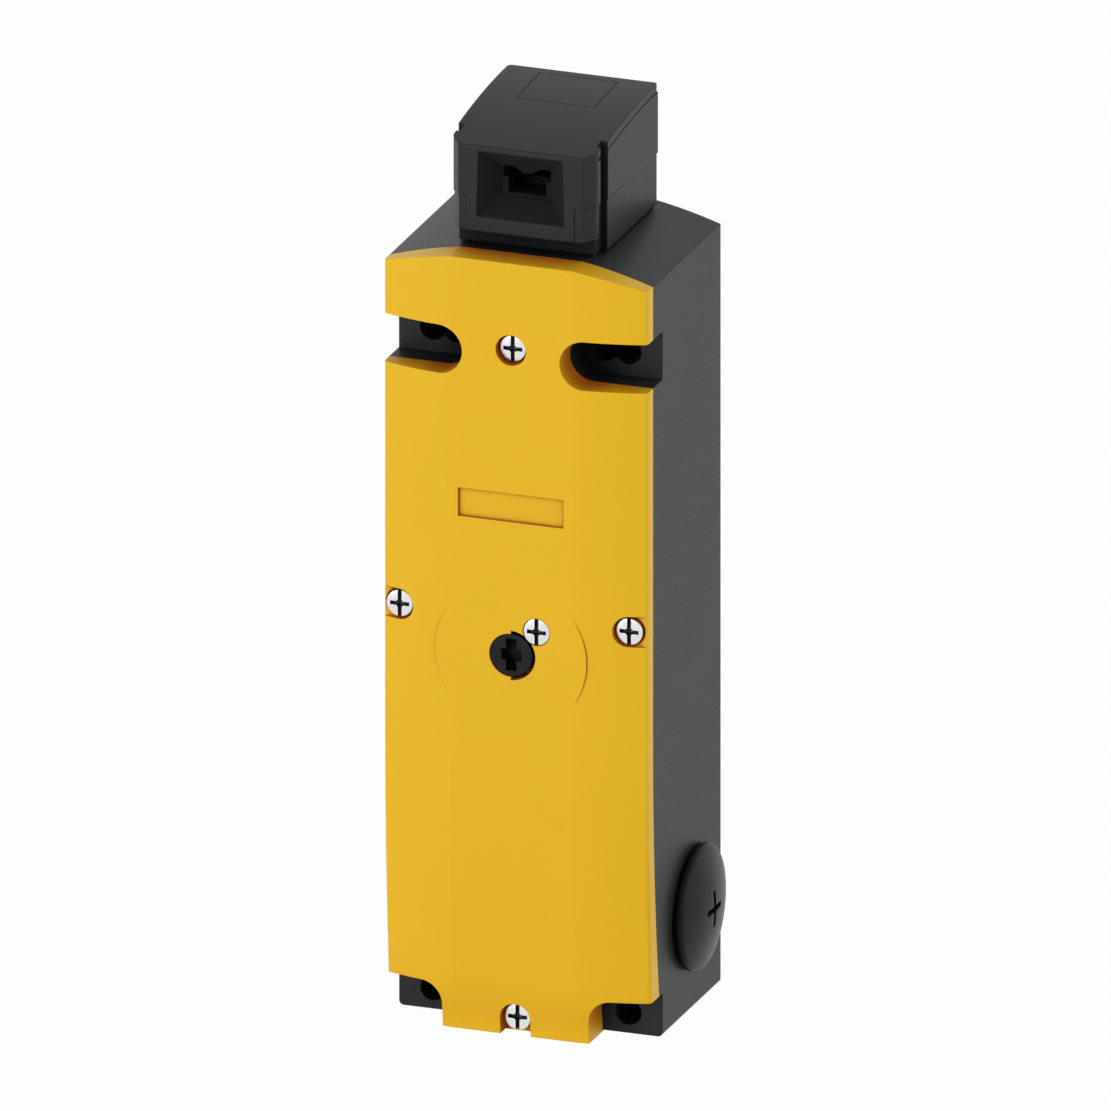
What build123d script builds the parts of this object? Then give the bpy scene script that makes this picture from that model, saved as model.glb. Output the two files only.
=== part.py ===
from build123d import *
import math
import os

# Guard-locking safety switch with a separate tongue. A tall flat body stands behind a
# crowned cover, and a turnable head on top takes the tongue through a funnel.
# The front faces -Y, Z is up, and the origin is below the middle of the bounding box.
# "Depth" is always measured forward from the mounting face at the back.

os.makedirs("parts", exist_ok=True)

# Enclosure
body_width = 54.0
body_depth = 44.0
body_height = 159.0
top_flat_half = 12.5
top_drop = 3.5
top_mid_drop = 1.45
crown_height = 6.0
parting_radius = 380.0
lean_start = 60.0
crown_radius = 650.0
crown_flat_half = 12.5
wing_drop = 2.9
wing_mid_drop = 0.95
crown_corner_radius = 1.0
outline_corner_radius = 1.0
wall = 2.5
cover_thickness = 4.5
fit = 0.05
seat_gap = 0.1

# Fixing holes: two side-open slots above, two corner notches below
fixing_spacing_x = 40.0
fixing_top_drop = 19.3
fixing_hole_radius = 2.65
fixing_bottom = 4.3
fixing_second_inset = 5.0
fixing_waist = 3.2
slot_height = 9.9
slot_inner = 10.0
slot_floor_recess = 11.3
notch_inner = 15.0
notch_height = 9.0
notch_corner = 4.4
notch_floor_recess = 11.4

# Inside of the housing
main_bottom = 11.5
main_top_drop = 26.9
well_half = 13.5
well_floor = 8.0
neck_half = 7.5
boss_depth = 26.0
side_boss_inner = 19.5
side_boss_height = 10.0

# Cover screws
screw_head_radius = 2.7
screw_head_height = 1.9
screw_head_edge = 0.25
screw_shank_radius = 1.45
screw_length = 10.0
screw_slot_width = 0.8
screw_slot_depth = 0.9
screw_cross_length = 3.9
screw_pocket_radius = 3.1
top_screw_drop = 17.8
top_screw_recess = 1.1
side_screw_x = 23.5
side_screw_drop = 73.2
side_screw_recess = 2.0
side_pocket_recess = 2.9
bottom_screw_height = 3.4
bottom_screw_recess = 3.8

# Label recess and release pad
label_half_width = 10.8
label_drop = 47.15
label_height = 5.8
label_depth = 0.5
pad_radius = 15.5
release_drop = 80.25
release_radius = 4.3
release_left_radius = 4.4
release_right_radius = 5.05
release_lobe_radius = 4.95
release_recess = 0.3
release_floor_recess = 3.8
release_lobe_thickness = 1.2
release_shaft_radius = 3.0
release_shaft_length = 8.7
release_boss_radius = 7.0
release_boss_length = 3.0
release_pin_radius = 1.0
release_pin_offset = 2.83
release_pin_length = 5.0
release_slot_x = 2.2
release_slot_height = 6.6
release_cross_x = 4.2
release_cross_height = 2.3
release_cross_depth = 2.6
lock_screw_x = 5.25
lock_screw_rise = 5.35
lock_screw_recess = 0.0

# M20 cable entries and their blanking plugs
entry_depth = 15.0
entry_height = 20.8
entry_radius = 9.2
entry_boss_radius = 12.0
entry_length = 8.0
plug_flange_radius = 12.5
plug_rim = 1.6
plug_edge = 0.6
plug_dome = 3.7
plug_seal_radius = 10.8
plug_seal_thickness = 0.7
plug_cross_length = 7.3
plug_cross_width = 1.2
plug_cross_depth = 2.0

# Head
head_width = 30.6
head_gap = 0.25
head_back = 3.1
head_axis_depth = 20.0
head_base_front = 34.7
head_front = 35.1
head_height = 24.75
head_top_radius = 168.0
hood_thickness = 1.55
bezel_front = 38.6
bezel_rise = 3.55
bezel_flat_half = 12.7
bezel_side_half = 14.8
bezel_back = 34.1
bezel_edge = 0.6
hood_edge = 0.9
hood_line = 0.25
groove_back = 31.3
groove_inset = 1.4
head_step_height = 10.5
head_step_inset = 0.2
head_step_inner = 11.0
funnel_half_top = 8.7
funnel_half_bottom = 9.1
funnel_rise = 6.35
funnel_height = 13.6
funnel_inner_depth = 34.6
cut_past = 1.0
tongue_half_wide = 4.8
tongue_half_narrow = 3.85
tongue_rise = 10.85
tongue_step_rise = 3.0
tongue_height = 5.3
nose_half_top = 3.1
nose_half_bottom = 0.8
nose_drop = 1.1
nose_length = 3.0
channel_back = 9.0
cap_half_width = 7.9
cap_back = 5.5
cap_front = 18.5
cap_gap = 0.15
neck_radius = 12.75
neck_length = 7.75
neck_bore = 13.0
neck_ring_rise = 1.5
neck_ring_thickness = 1.0
neck_ring_inner = 12.0
neck_ring_outer = 13.9
neck_seal_rise = 4.5
neck_seal_height = 1.6
neck_seal_inner = 11.5

# Cam wheel and plunger
cam_rise = 8.75
cam_radius = 9.0
cam_thickness = 10.0
cam_travel = 50.0
cam_clearance = 0.3
axle_radius = 1.5
axle_half_length = 13.0
plunger_stroke = 4.0
plunger_tip = 2.0
plunger_gap = 0.2
plunger_radius = 3.0
plunger_neck_length = 3.5
plunger_engagement = 2.0
plunger_collar_radius = 5.2
plunger_collar_drop = 4.1
plunger_collar_height = 2.0
neck_bore_depth = 12.0
bush_flange_height = 4.0
bush_sleeve_radius = 5.3
bush_sleeve_length = 7.5

# Contact blocks and terminals
block_half_width = 17.0
block_front_gap = 12.0
upper_block_drop = 18.1
upper_block_height = 13.0
lower_block_height = 9.0
block_gap = 3.0
terminal_gap = 2.0
terminal_height = 11.0
terminal_front = 13.0
terminal_pitch = 7.5
terminal_count = 4
terminal_screw_radius = 2.0

# Solenoid
yoke_height = 30.5
yoke_plate = 3.0
yoke_half_width = 17.0
yoke_back = 8.0
bobbin_bore = 6.1
bobbin_tube = 7.0
bobbin_flange_radius = 12.8
bobbin_flange = 1.5
winding_radius = 12.0
pole_height = 12.5
armature_stroke = 4.0
armature_radius = 6.0
armature_rod_radius = 2.0
armature_rest_gap = 0.3
collar_height = 8.0
collar_half_width = 7.8
spring_height = 12.75
spring_wire = 1.2

gasket_thickness = 0.8
cut_reach = 12.0
gasket_width = 1.2
lock_screw_length = 5.0
release_seal_height = 1.5
release_seal_radius = 4.0
release_clip_offset = 0.25
release_clip_thickness = 0.8
release_clip_inner = 2.3
release_clip_outer = 4.8
plug_bore = 6.5
pole_stud_radius = 3.0
collar_slot_gap = 0.2
cap_ledge = 1.5
cap_plug = 3.0
ring_opening = 8.0
cam_mouth_angle = 40.0
cam_mouth_depth = 4.5
cam_mouth_width = 5.0
terminal_well = 4.0

half_width = body_width / 2
inner_half = half_width - wall
parting_depth = body_depth - crown_height
fixing_top = body_height - fixing_top_drop
fixing_spacing_z = fixing_top - fixing_bottom
main_top = body_height - main_top_drop
top_screw_height = body_height - top_screw_drop
top_screw_face = body_depth - top_screw_recess
side_screw_face = body_depth - side_screw_recess
side_pocket_depth = body_depth - side_pocket_recess
bottom_screw_face = body_depth - bottom_screw_recess
side_screw_height = body_height - side_screw_drop
slot_floor_depth = body_depth - slot_floor_recess
notch_floor_depth = body_depth - notch_floor_recess
label_top = body_height - label_drop
label_bottom = label_top - label_height
release_height = body_height - release_drop
lock_screw_height = release_height + lock_screw_rise
release_face = body_depth - release_recess
release_floor = body_depth - release_floor_recess
release_shaft_end = release_floor - release_shaft_length
release_boss_end = parting_depth - release_boss_length
release_clip_depth = release_boss_end - release_clip_thickness - release_clip_offset - seat_gap
release_pin_end = release_shaft_end - release_pin_length
lock_screw_face = body_depth - lock_screw_recess
head_bottom = body_height + head_gap
head_top_back = head_bottom + head_height
bezel_bottom = head_bottom + bezel_rise
funnel_bottom = head_bottom + funnel_rise
funnel_top = funnel_bottom + funnel_height
tongue_bottom = head_bottom + tongue_rise
tongue_step = tongue_bottom + tongue_step_rise
tongue_top = tongue_bottom + tongue_height
neck_bottom = head_bottom - neck_length
neck_ring_bottom = neck_bottom + neck_ring_rise
neck_seal_bottom = neck_bottom + neck_seal_rise
cam_height = head_bottom + cam_rise
bush_floor = body_height - neck_bore_depth
bush_bottom = bush_floor - bush_sleeve_length
block_front = body_depth - block_front_gap
upper_block_top = main_top - upper_block_drop
upper_block_bottom = upper_block_top - upper_block_height
lower_block_top = upper_block_bottom - block_gap
lower_block_bottom = lower_block_top - lower_block_height
terminal_bottom = upper_block_top + terminal_gap
terminal_top = terminal_bottom + terminal_height
plunger_collar_bottom = main_top - plunger_collar_drop
plunger_bottom = upper_block_bottom + plunger_engagement
collar_bottom = release_height - collar_height / 4
collar_top = collar_bottom + collar_height
collar_front = release_shaft_end - 1
yoke_top = collar_bottom - spring_height
yoke_bottom = yoke_top - yoke_height
yoke_front = block_front
pole_top = yoke_bottom + pole_height
armature_bottom = pole_top + armature_stroke + armature_rest_gap
armature_rod_top = plunger_bottom - armature_rest_gap


def y_of(depth):
    """Y of a point that lies at a depth in front of the mounting face."""
    return body_depth / 2 - depth


def at_depth(depth):
    """Plane parallel to the mounting face, looking out of the front."""
    return Plane.XZ.offset(depth - body_depth / 2)


def lean(radius, height):
    """How far a leaning face has moved back at a height below the lean line."""
    return radius - math.sqrt(radius ** 2 - (lean_start - height) ** 2)


def behind(depth, radius):
    """Side view of all that lies behind a face that is upright and leans back below."""
    top = body_height + cut_reach
    low = -6
    with BuildSketch() as side:
        with BuildLine():
            ThreePointArc(
                (y_of(depth) + lean(radius, low), low),
                (y_of(depth) + lean(radius, lean_start / 2), lean_start / 2),
                (y_of(depth), lean_start),
            )
            Polyline(
                (y_of(depth), lean_start),
                (y_of(depth), top),
                (y_of(-6), top),
                (y_of(-6), low),
                (y_of(depth) + lean(radius, low), low),
            )
        make_face()
    return side.sketch


def head_top(depth):
    """Height of the arched top of the head at a depth."""
    return head_top_back - head_top_radius + math.sqrt(
        head_top_radius ** 2 - (depth - head_back) ** 2
    )


# Front view of the enclosure, arched at the top
with BuildSketch() as outline:
    with BuildLine():
        Line((0, body_height), (top_flat_half, body_height))
        ThreePointArc(
            (top_flat_half, body_height),
            ((top_flat_half + half_width) / 2, body_height - top_mid_drop),
            (half_width, body_height - top_drop),
        )
        Polyline((half_width, body_height - top_drop), (half_width, 0), (0, 0))
        mirror(about=Plane.YZ)
    make_face()
    lower_corners = outline.vertices().group_by(Axis.Y)[0]
    fillet(lower_corners, radius=outline_corner_radius)

# Side-open slots and corner notches in front view
with BuildSketch() as openings:
    for side in (-1, 1):
        with Locations((side * half_width, fixing_top)):
            SlotOverall(2 * (half_width - slot_inner), slot_height)
with BuildSketch() as notches:
    for side in (-1, 1):
        with Locations((side * half_width, 0)):
            RectangleRounded(2 * (half_width - notch_inner), 2 * notch_height, notch_corner)

# Fixing holes, the upper ones doubled and joined by a waist
with BuildSketch() as upper_holes:
    for side in (-1, 1):
        with Locations((side * fixing_spacing_x / 2, fixing_top)):
            Circle(fixing_hole_radius)
        with Locations((side * (fixing_spacing_x / 2 - fixing_second_inset), fixing_top)):
            Circle(fixing_hole_radius)
        with Locations((side * (fixing_spacing_x - fixing_second_inset) / 2, fixing_top)):
            Rectangle(fixing_second_inset, fixing_waist)
with BuildSketch() as lower_holes:
    with Locations((-fixing_spacing_x / 2, fixing_bottom), (fixing_spacing_x / 2, fixing_bottom)):
        Circle(fixing_hole_radius)

# Main cavity in front view, with the two side bosses left standing
with BuildSketch() as cavity:
    with Locations((0, (main_bottom + main_top) / 2)):
        Rectangle(2 * inner_half, main_top - main_bottom)
    for side in (-1, 1):
        with Locations((side * (side_boss_inner + half_width) / 2, side_screw_height)):
            Rectangle(half_width - side_boss_inner, side_boss_height, mode=Mode.SUBTRACT)

# The gasket runs round the rim and round the inner side of the side bosses
with BuildSketch() as gasket_outline:
    with Locations((0, (main_bottom + main_top) / 2)):
        Rectangle(2 * (inner_half + gasket_width), main_top - main_bottom + 2 * gasket_width)
    for side in (-1, 1):
        with Locations((side * (side_boss_inner + gasket_width + half_width) / 2, side_screw_height)):
            Rectangle(
                half_width - side_boss_inner - gasket_width,
                side_boss_height - 2 * gasket_width,
                mode=Mode.SUBTRACT,
            )
    add(cavity.sketch, mode=Mode.SUBTRACT)

screw_places = {
    "top": (0, top_screw_height, top_screw_face),
    "left": (-side_screw_x, side_screw_height, side_screw_face),
    "right": (side_screw_x, side_screw_height, side_screw_face),
    "bottom": (0, bottom_screw_height, bottom_screw_face),
}


# Housing
with BuildPart() as housing:
    with BuildSketch(at_depth(0)):
        add(outline.sketch)
    extrude(amount=parting_depth)
    with BuildSketch(Plane.YZ):
        add(behind(parting_depth, parting_radius))
    extrude(amount=body_width, both=True, mode=Mode.INTERSECT)
    # Cavities, from the wide main one to the narrow neck between the slots
    with BuildSketch(at_depth(wall)):
        add(cavity.sketch)
    extrude(amount=body_depth, mode=Mode.SUBTRACT)
    with BuildSketch(at_depth(wall)):
        with Locations((0, (well_floor + main_bottom) / 2)):
            Rectangle(2 * well_half, main_bottom - well_floor + 1)
        with Locations((0, (main_top + bush_floor - wall) / 2)):
            Rectangle(2 * neck_half, bush_floor - wall - main_top + 1)
    extrude(amount=boss_depth - wall, mode=Mode.SUBTRACT)
    # Bosses of the side entries
    for side in (-1, 1):
        with BuildSketch(Plane.YZ.offset(side * (half_width - entry_length))):
            with Locations((y_of(entry_depth), entry_height)):
                Circle(entry_boss_radius)
        extrude(amount=side * (entry_length - wall / 2))
    # Entries on both sides and below
    with BuildSketch(Plane.YZ):
        with Locations((y_of(entry_depth), entry_height)):
            Circle(entry_radius)
    extrude(amount=body_width, both=True, mode=Mode.SUBTRACT)
    with BuildSketch(Plane.XY.offset(-1)):
        with Locations((0, y_of(entry_depth))):
            Circle(entry_radius)
    extrude(amount=well_floor + 2, mode=Mode.SUBTRACT)
    # Bore of the head neck, its ring groove, and the seat of the plunger bush
    with BuildSketch(Plane.XY.offset(bush_floor)):
        with Locations((0, y_of(head_axis_depth))):
            Circle(neck_bore)
    extrude(amount=body_height, mode=Mode.SUBTRACT)
    with BuildSketch(Plane.XY.offset(neck_ring_bottom - seat_gap / 2)):
        with Locations((0, y_of(head_axis_depth))):
            Circle(neck_ring_outer + seat_gap)
    extrude(amount=neck_ring_thickness + seat_gap, mode=Mode.SUBTRACT)
    with BuildSketch(Plane.XY.offset(bush_floor - wall - 1)):
        with Locations((0, y_of(head_axis_depth))):
            Circle(bush_sleeve_radius + fit)
    extrude(amount=wall + 2, mode=Mode.SUBTRACT)
    # Slots, notches and fixing holes
    with BuildSketch(at_depth(slot_floor_depth)):
        add(openings.sketch)
    extrude(amount=body_depth, mode=Mode.SUBTRACT)
    with BuildSketch(at_depth(notch_floor_depth)):
        add(notches.sketch)
    extrude(amount=body_depth, mode=Mode.SUBTRACT)
    with BuildSketch(at_depth(-1)):
        add(upper_holes.sketch)
        add(lower_holes.sketch)
    extrude(amount=body_depth, mode=Mode.SUBTRACT)
    # Screw holes of the cover
    for x, z, face in screw_places.values():
        with BuildSketch(at_depth(face - screw_head_height - screw_length - 1)):
            with Locations((x, z)):
                Circle(screw_shank_radius + fit)
        extrude(amount=body_depth, mode=Mode.SUBTRACT)
housing.part.label = "housing"
export_step(housing.part, "parts/housing.step")


# Hollow behind the crown of the cover, with the release and lock screw bosses left standing
with BuildPart() as cover_hollow:
    with BuildSketch(at_depth(parting_depth - cut_reach)):
        add(cavity.sketch)
        with Locations((0, release_height)):
            Circle(release_boss_radius, mode=Mode.SUBTRACT)
        with Locations((lock_screw_x, lock_screw_height)):
            Circle(screw_pocket_radius + 1, mode=Mode.SUBTRACT)
    extrude(amount=body_depth)
    with BuildSketch(Plane.YZ):
        add(behind(body_depth - cover_thickness, crown_radius - cover_thickness))
    extrude(amount=body_width, both=True, mode=Mode.INTERSECT)

# Rubber ring that lies in a rebate along the inner rim of the cover
with BuildPart() as cover_gasket:
    with BuildSketch(at_depth(parting_depth - cut_reach)):
        add(gasket_outline.sketch)
    extrude(amount=body_depth)
    with BuildSketch(Plane.YZ):
        add(behind(parting_depth + gasket_thickness, parting_radius + gasket_thickness))
    extrude(amount=body_width, both=True, mode=Mode.INTERSECT)
    with BuildSketch(Plane.YZ):
        add(behind(parting_depth, parting_radius))
    extrude(amount=body_width, both=True, mode=Mode.SUBTRACT)
cover_gasket.part.label = "cover_gasket"
export_step(cover_gasket.part, "parts/cover_gasket.step")

# Cover, crowned across and leaning back below
with BuildPart() as cover:
    with BuildSketch(Plane.XY.offset(lean_start)) as section:
        with BuildLine():
            Line((0, y_of(body_depth)), (crown_flat_half, y_of(body_depth)))
            ThreePointArc(
                (crown_flat_half, y_of(body_depth)),
                ((crown_flat_half + half_width) / 2, y_of(body_depth - wing_mid_drop)),
                (half_width, y_of(body_depth - wing_drop)),
            )
            Polyline(
                (half_width, y_of(body_depth - wing_drop)),
                (half_width, y_of(parting_depth - cut_reach)),
                (0, y_of(parting_depth - cut_reach)),
            )
            mirror(about=Plane.YZ)
        make_face()
        shoulders = section.vertices().filter_by(
            lambda v: abs(v.X) > half_width - 0.01 and v.Y < y_of(parting_depth)
        )
        fillet(shoulders, radius=crown_corner_radius)
    extrude(amount=body_height - lean_start + 2)
    with BuildSketch(Plane.XY.offset(lean_start)):
        add(section.sketch_local)
    revolve(
        axis=Axis((0, y_of(body_depth - crown_radius), lean_start), (1, 0, 0)),
        revolution_arc=math.degrees((lean_start + 3) / (crown_radius - body_depth)),
    )
    with BuildSketch(at_depth(parting_depth - cut_reach)):
        add(outline.sketch)
    extrude(amount=body_depth, mode=Mode.INTERSECT)
    # Round pad of the release, level with the flat of the crown
    with BuildSketch(at_depth(parting_depth + 1)):
        with Locations((0, release_height)):
            Circle(pad_radius)
    extrude(amount=body_depth - parting_depth - 1)
    with BuildSketch(Plane.YZ):
        add(behind(parting_depth, parting_radius))
    extrude(amount=body_width, both=True, mode=Mode.SUBTRACT)
    add(cover_hollow.part, mode=Mode.SUBTRACT)
    add(cover_gasket.part, mode=Mode.SUBTRACT)
    # Boss around the shaft of the release
    with BuildSketch(at_depth(release_boss_end)):
        with Locations((0, release_height)):
            Circle(release_boss_radius)
    extrude(amount=parting_depth - release_boss_end + 1)
    # Slots, notches and the bare label recess
    with BuildSketch(at_depth(0)):
        add(openings.sketch)
        add(notches.sketch)
    extrude(amount=2 * body_depth, mode=Mode.SUBTRACT)
    with BuildSketch(at_depth(body_depth - label_depth)):
        with Locations((0, (label_bottom + label_top) / 2)):
            Rectangle(2 * label_half_width, label_top - label_bottom)
    extrude(amount=body_depth, mode=Mode.SUBTRACT)
    # Screw pockets and holes
    for x, z, face in screw_places.values():
        with BuildSketch(at_depth(face - screw_head_height)):
            with Locations((x, z)):
                Circle(screw_pocket_radius)
        extrude(amount=body_depth, mode=Mode.SUBTRACT)
        with BuildSketch(at_depth(0)):
            with Locations((x, z)):
                Circle(screw_shank_radius + fit)
        extrude(amount=body_depth, mode=Mode.SUBTRACT)
    for side in (-1, 1):
        with BuildSketch(at_depth(side_pocket_depth)):
            with Locations((side * (side_screw_x + half_width) / 2, side_screw_height)):
                Rectangle(half_width - side_screw_x, 2 * screw_pocket_radius)
        extrude(amount=body_depth, mode=Mode.SUBTRACT)
    with BuildSketch(at_depth(bottom_screw_face - screw_head_height)):
        with Locations((0, 0)):
            Rectangle(2 * screw_pocket_radius, 2 * bottom_screw_height)
    extrude(amount=body_depth, mode=Mode.SUBTRACT)
    # Release opening, wider on its right half, with the bore of the shaft
    with BuildSketch(at_depth(release_floor)):
        with Locations((0, release_height)):
            Circle(release_right_radius)
            with Locations((-release_right_radius / 2, 0)):
                Rectangle(
                    release_right_radius, 2 * release_right_radius, mode=Mode.SUBTRACT
                )
            Circle(release_left_radius)
    extrude(amount=body_depth, mode=Mode.SUBTRACT)
    with BuildSketch(at_depth(0)):
        with Locations((0, release_height)):
            Circle(release_shaft_radius + fit)
    extrude(amount=body_depth, mode=Mode.SUBTRACT)
    # Seat of the ring that seals the shaft, and the seat and hole of the lock screw
    with BuildSketch(at_depth(release_floor - release_seal_height)):
        with Locations((0, release_height)):
            Circle(release_seal_radius)
    extrude(amount=release_seal_height, mode=Mode.SUBTRACT)
    with BuildSketch(at_depth(lock_screw_face - screw_head_height)):
        with Locations((lock_screw_x, lock_screw_height)):
            Circle(screw_head_radius + seat_gap)
    extrude(amount=body_depth, mode=Mode.SUBTRACT)
    with BuildSketch(at_depth(lock_screw_face - screw_head_height - lock_screw_length)):
        with Locations((lock_screw_x, lock_screw_height)):
            Circle(screw_shank_radius + fit)
    extrude(amount=body_depth, mode=Mode.SUBTRACT)
cover.part.label = "cover"
export_step(cover.part, "parts/cover.step")


def screw(x, z, face, length):
    """Cheese-head screw with a slot and a cross, its head towards the front."""
    with BuildPart() as body:
        with BuildSketch(at_depth(face - screw_head_height)):
            with Locations((x, z)):
                Circle(screw_head_radius)
        extrude(amount=screw_head_height)
        chamfer(body.faces().sort_by(Axis.Y)[0].edges(), length=screw_head_edge)
        with BuildSketch(at_depth(face - screw_head_height - length)):
            with Locations((x, z)):
                Circle(screw_shank_radius)
        extrude(amount=length)
        with BuildSketch(at_depth(face - screw_slot_depth)):
            with Locations((x, z)):
                Rectangle(screw_slot_width, 2 * screw_head_radius)
                Rectangle(screw_cross_length, screw_slot_width)
        extrude(amount=screw_head_height, mode=Mode.SUBTRACT)
    return body


for name, (x, z, face) in screw_places.items():
    cover_screw = screw(x, z, face, screw_length)
    cover_screw.part.label = "cover_screw_" + name
    export_step(cover_screw.part, "parts/cover_screw_" + name + ".step")

lock_screw = screw(lock_screw_x, lock_screw_height, lock_screw_face, lock_screw_length)
lock_screw.part.label = "lock_screw"
export_step(lock_screw.part, "parts/lock_screw.step")


# Auxiliary release: a disc with a stop lobe, a shaft and an eccentric pin
release_pin_x = release_pin_offset * math.cos(math.radians(45))
release_pin_z = release_height + release_pin_offset * math.sin(math.radians(45))
with BuildPart() as release_disc:
    with BuildSketch(at_depth(release_floor + seat_gap)):
        with Locations((0, release_height)):
            Circle(release_radius)
    extrude(amount=release_face - release_floor - seat_gap)
    with BuildSketch(at_depth(release_floor + seat_gap)):
        with Locations((0, release_height)):
            Circle(release_lobe_radius)
            with Locations((-release_right_radius, 0), (0, -release_right_radius)):
                Rectangle(
                    2 * release_right_radius, 2 * release_right_radius, mode=Mode.SUBTRACT
                )
    extrude(amount=release_lobe_thickness)
    with BuildSketch(at_depth(release_shaft_end)):
        with Locations((0, release_height)):
            Circle(release_shaft_radius)
    extrude(amount=release_floor + 1 - release_shaft_end)
    with BuildSketch(at_depth(release_pin_end)):
        with Locations((release_pin_x, release_pin_z)):
            Circle(release_pin_radius)
    extrude(amount=release_shaft_end + 1 - release_pin_end)
    with BuildSketch(at_depth(release_face - release_cross_depth)):
        with Locations((0, release_height)):
            Rectangle(release_slot_x, release_slot_height)
            Rectangle(release_cross_x, release_cross_height)
    extrude(amount=body_depth, mode=Mode.SUBTRACT)
    with BuildSketch(at_depth(release_clip_depth)):
        with Locations((0, release_height)):
            Circle(release_shaft_radius + 1)
            Circle(release_clip_inner, mode=Mode.SUBTRACT)
    extrude(amount=release_clip_thickness + seat_gap, mode=Mode.SUBTRACT)
release_disc.part.label = "release_disc"
export_step(release_disc.part, "parts/release_disc.step")

with BuildPart() as release_clip:
    with BuildSketch(at_depth(release_clip_depth + seat_gap / 2)):
        with Locations((0, release_height)):
            Circle(release_clip_outer)
            Circle(release_clip_inner + fit, mode=Mode.SUBTRACT)
            with Locations((0, -release_clip_outer / 2)):
                Rectangle(2 * release_clip_inner, release_clip_outer, mode=Mode.SUBTRACT)
    extrude(amount=release_clip_thickness)
release_clip.part.label = "release_clip"
export_step(release_clip.part, "parts/release_clip.step")

with BuildPart() as release_seal:
    with BuildSketch(at_depth(release_floor - release_seal_height)):
        with Locations((0, release_height)):
            Circle(release_seal_radius)
            Circle(release_shaft_radius + fit, mode=Mode.SUBTRACT)
    extrude(amount=release_seal_height)
release_seal.part.label = "release_seal"
export_step(release_seal.part, "parts/release_seal.step")


# Blanking plugs of the side entries, each with its sealing ring
dome_rise = plug_dome - plug_rim
dome_base = plug_seal_thickness + plug_rim
dome = [
    (dome_base + dome_rise * (1 - share ** 2), share * (plug_flange_radius - plug_edge))
    for share in (1.0, 0.8, 0.55, 0.25)
] + [(dome_base + dome_rise, 0)]
for name, side in (("right", 1), ("left", -1)):
    entry = Plane(
        origin=(side * half_width, y_of(entry_depth), entry_height),
        x_dir=(side, 0, 0),
        z_dir=(0, -side, 0),
    )
    with BuildPart() as plug:
        with BuildSketch(entry):
            with BuildLine():
                Polyline(
                    (plug_seal_thickness + plug_dome - plug_cross_depth - 1.2, 0),
                    (plug_seal_thickness + plug_dome - plug_cross_depth - 1.2, plug_bore),
                    (0.5 - entry_length, plug_bore),
                    (0.5 - entry_length, entry_radius - fit),
                    (plug_seal_thickness, entry_radius - fit),
                    (plug_seal_thickness, plug_flange_radius),
                    (plug_seal_thickness + plug_rim - plug_edge, plug_flange_radius),
                    *dome,
                    close=True,
                )
            make_face()
        revolve(axis=Axis(entry.origin, (side, 0, 0)))
        outer = Plane(
            origin=(
                side * (half_width + plug_seal_thickness + plug_dome),
                y_of(entry_depth),
                entry_height,
            ),
            x_dir=(0, side, 0),
            z_dir=(side, 0, 0),
        )
        with BuildSketch(outer.offset(-plug_cross_depth)):
            Rectangle(plug_cross_length, plug_cross_width)
            Rectangle(plug_cross_width, plug_cross_length)
        extrude(amount=plug_cross_depth + 1, mode=Mode.SUBTRACT)
    plug.part.label = "plug_" + name
    export_step(plug.part, "parts/plug_" + name + ".step")
    with BuildPart() as plug_seal:
        with BuildSketch(Plane.YZ.offset(side * half_width)):
            with Locations((y_of(entry_depth), entry_height)):
                Circle(plug_seal_radius)
                Circle(entry_radius, mode=Mode.SUBTRACT)
        extrude(amount=side * plug_seal_thickness)
    plug_seal.part.label = "plug_seal_" + name
    export_step(plug_seal.part, "parts/plug_seal_" + name + ".step")


# Solenoid: yoke, bobbin, winding, pole piece and armature, all on the line of the plunger
yoke_feet = yoke_half_width - yoke_plate
with BuildPart() as solenoid_yoke:
    for z in (yoke_bottom, yoke_top - yoke_plate):
        with BuildSketch(Plane.XY.offset(z)):
            with Locations((0, y_of((yoke_back + yoke_front) / 2))):
                Rectangle(2 * yoke_half_width, yoke_front - yoke_back)
        extrude(amount=yoke_plate)
    for side in (-1, 1):
        with BuildSketch(at_depth(wall)):
            with Locations(
                (side * (yoke_half_width - yoke_plate / 2), (yoke_bottom + yoke_top) / 2)
            ):
                Rectangle(yoke_plate, yoke_top - yoke_bottom)
        extrude(amount=yoke_front - wall)
    with BuildSketch(Plane.XY.offset(yoke_top - yoke_plate - 1)):
        with Locations((0, y_of(head_axis_depth))):
            Circle(armature_radius + 0.2)
    extrude(amount=yoke_plate + 2, mode=Mode.SUBTRACT)
    with BuildSketch(Plane.XY.offset(yoke_bottom - 1)):
        with Locations((0, y_of(head_axis_depth))):
            Circle(pole_stud_radius)
    extrude(amount=yoke_plate + 2, mode=Mode.SUBTRACT)
solenoid_yoke.part.label = "solenoid_yoke"
export_step(solenoid_yoke.part, "parts/solenoid_yoke.step")

axis_plane = Plane(origin=(0, y_of(head_axis_depth), 0), x_dir=(1, 0, 0), z_dir=(0, -1, 0))
head_axis = Axis((0, y_of(head_axis_depth), 0), (0, 0, 1))
coil_bottom = yoke_bottom + yoke_plate
coil_top = yoke_top - yoke_plate

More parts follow.
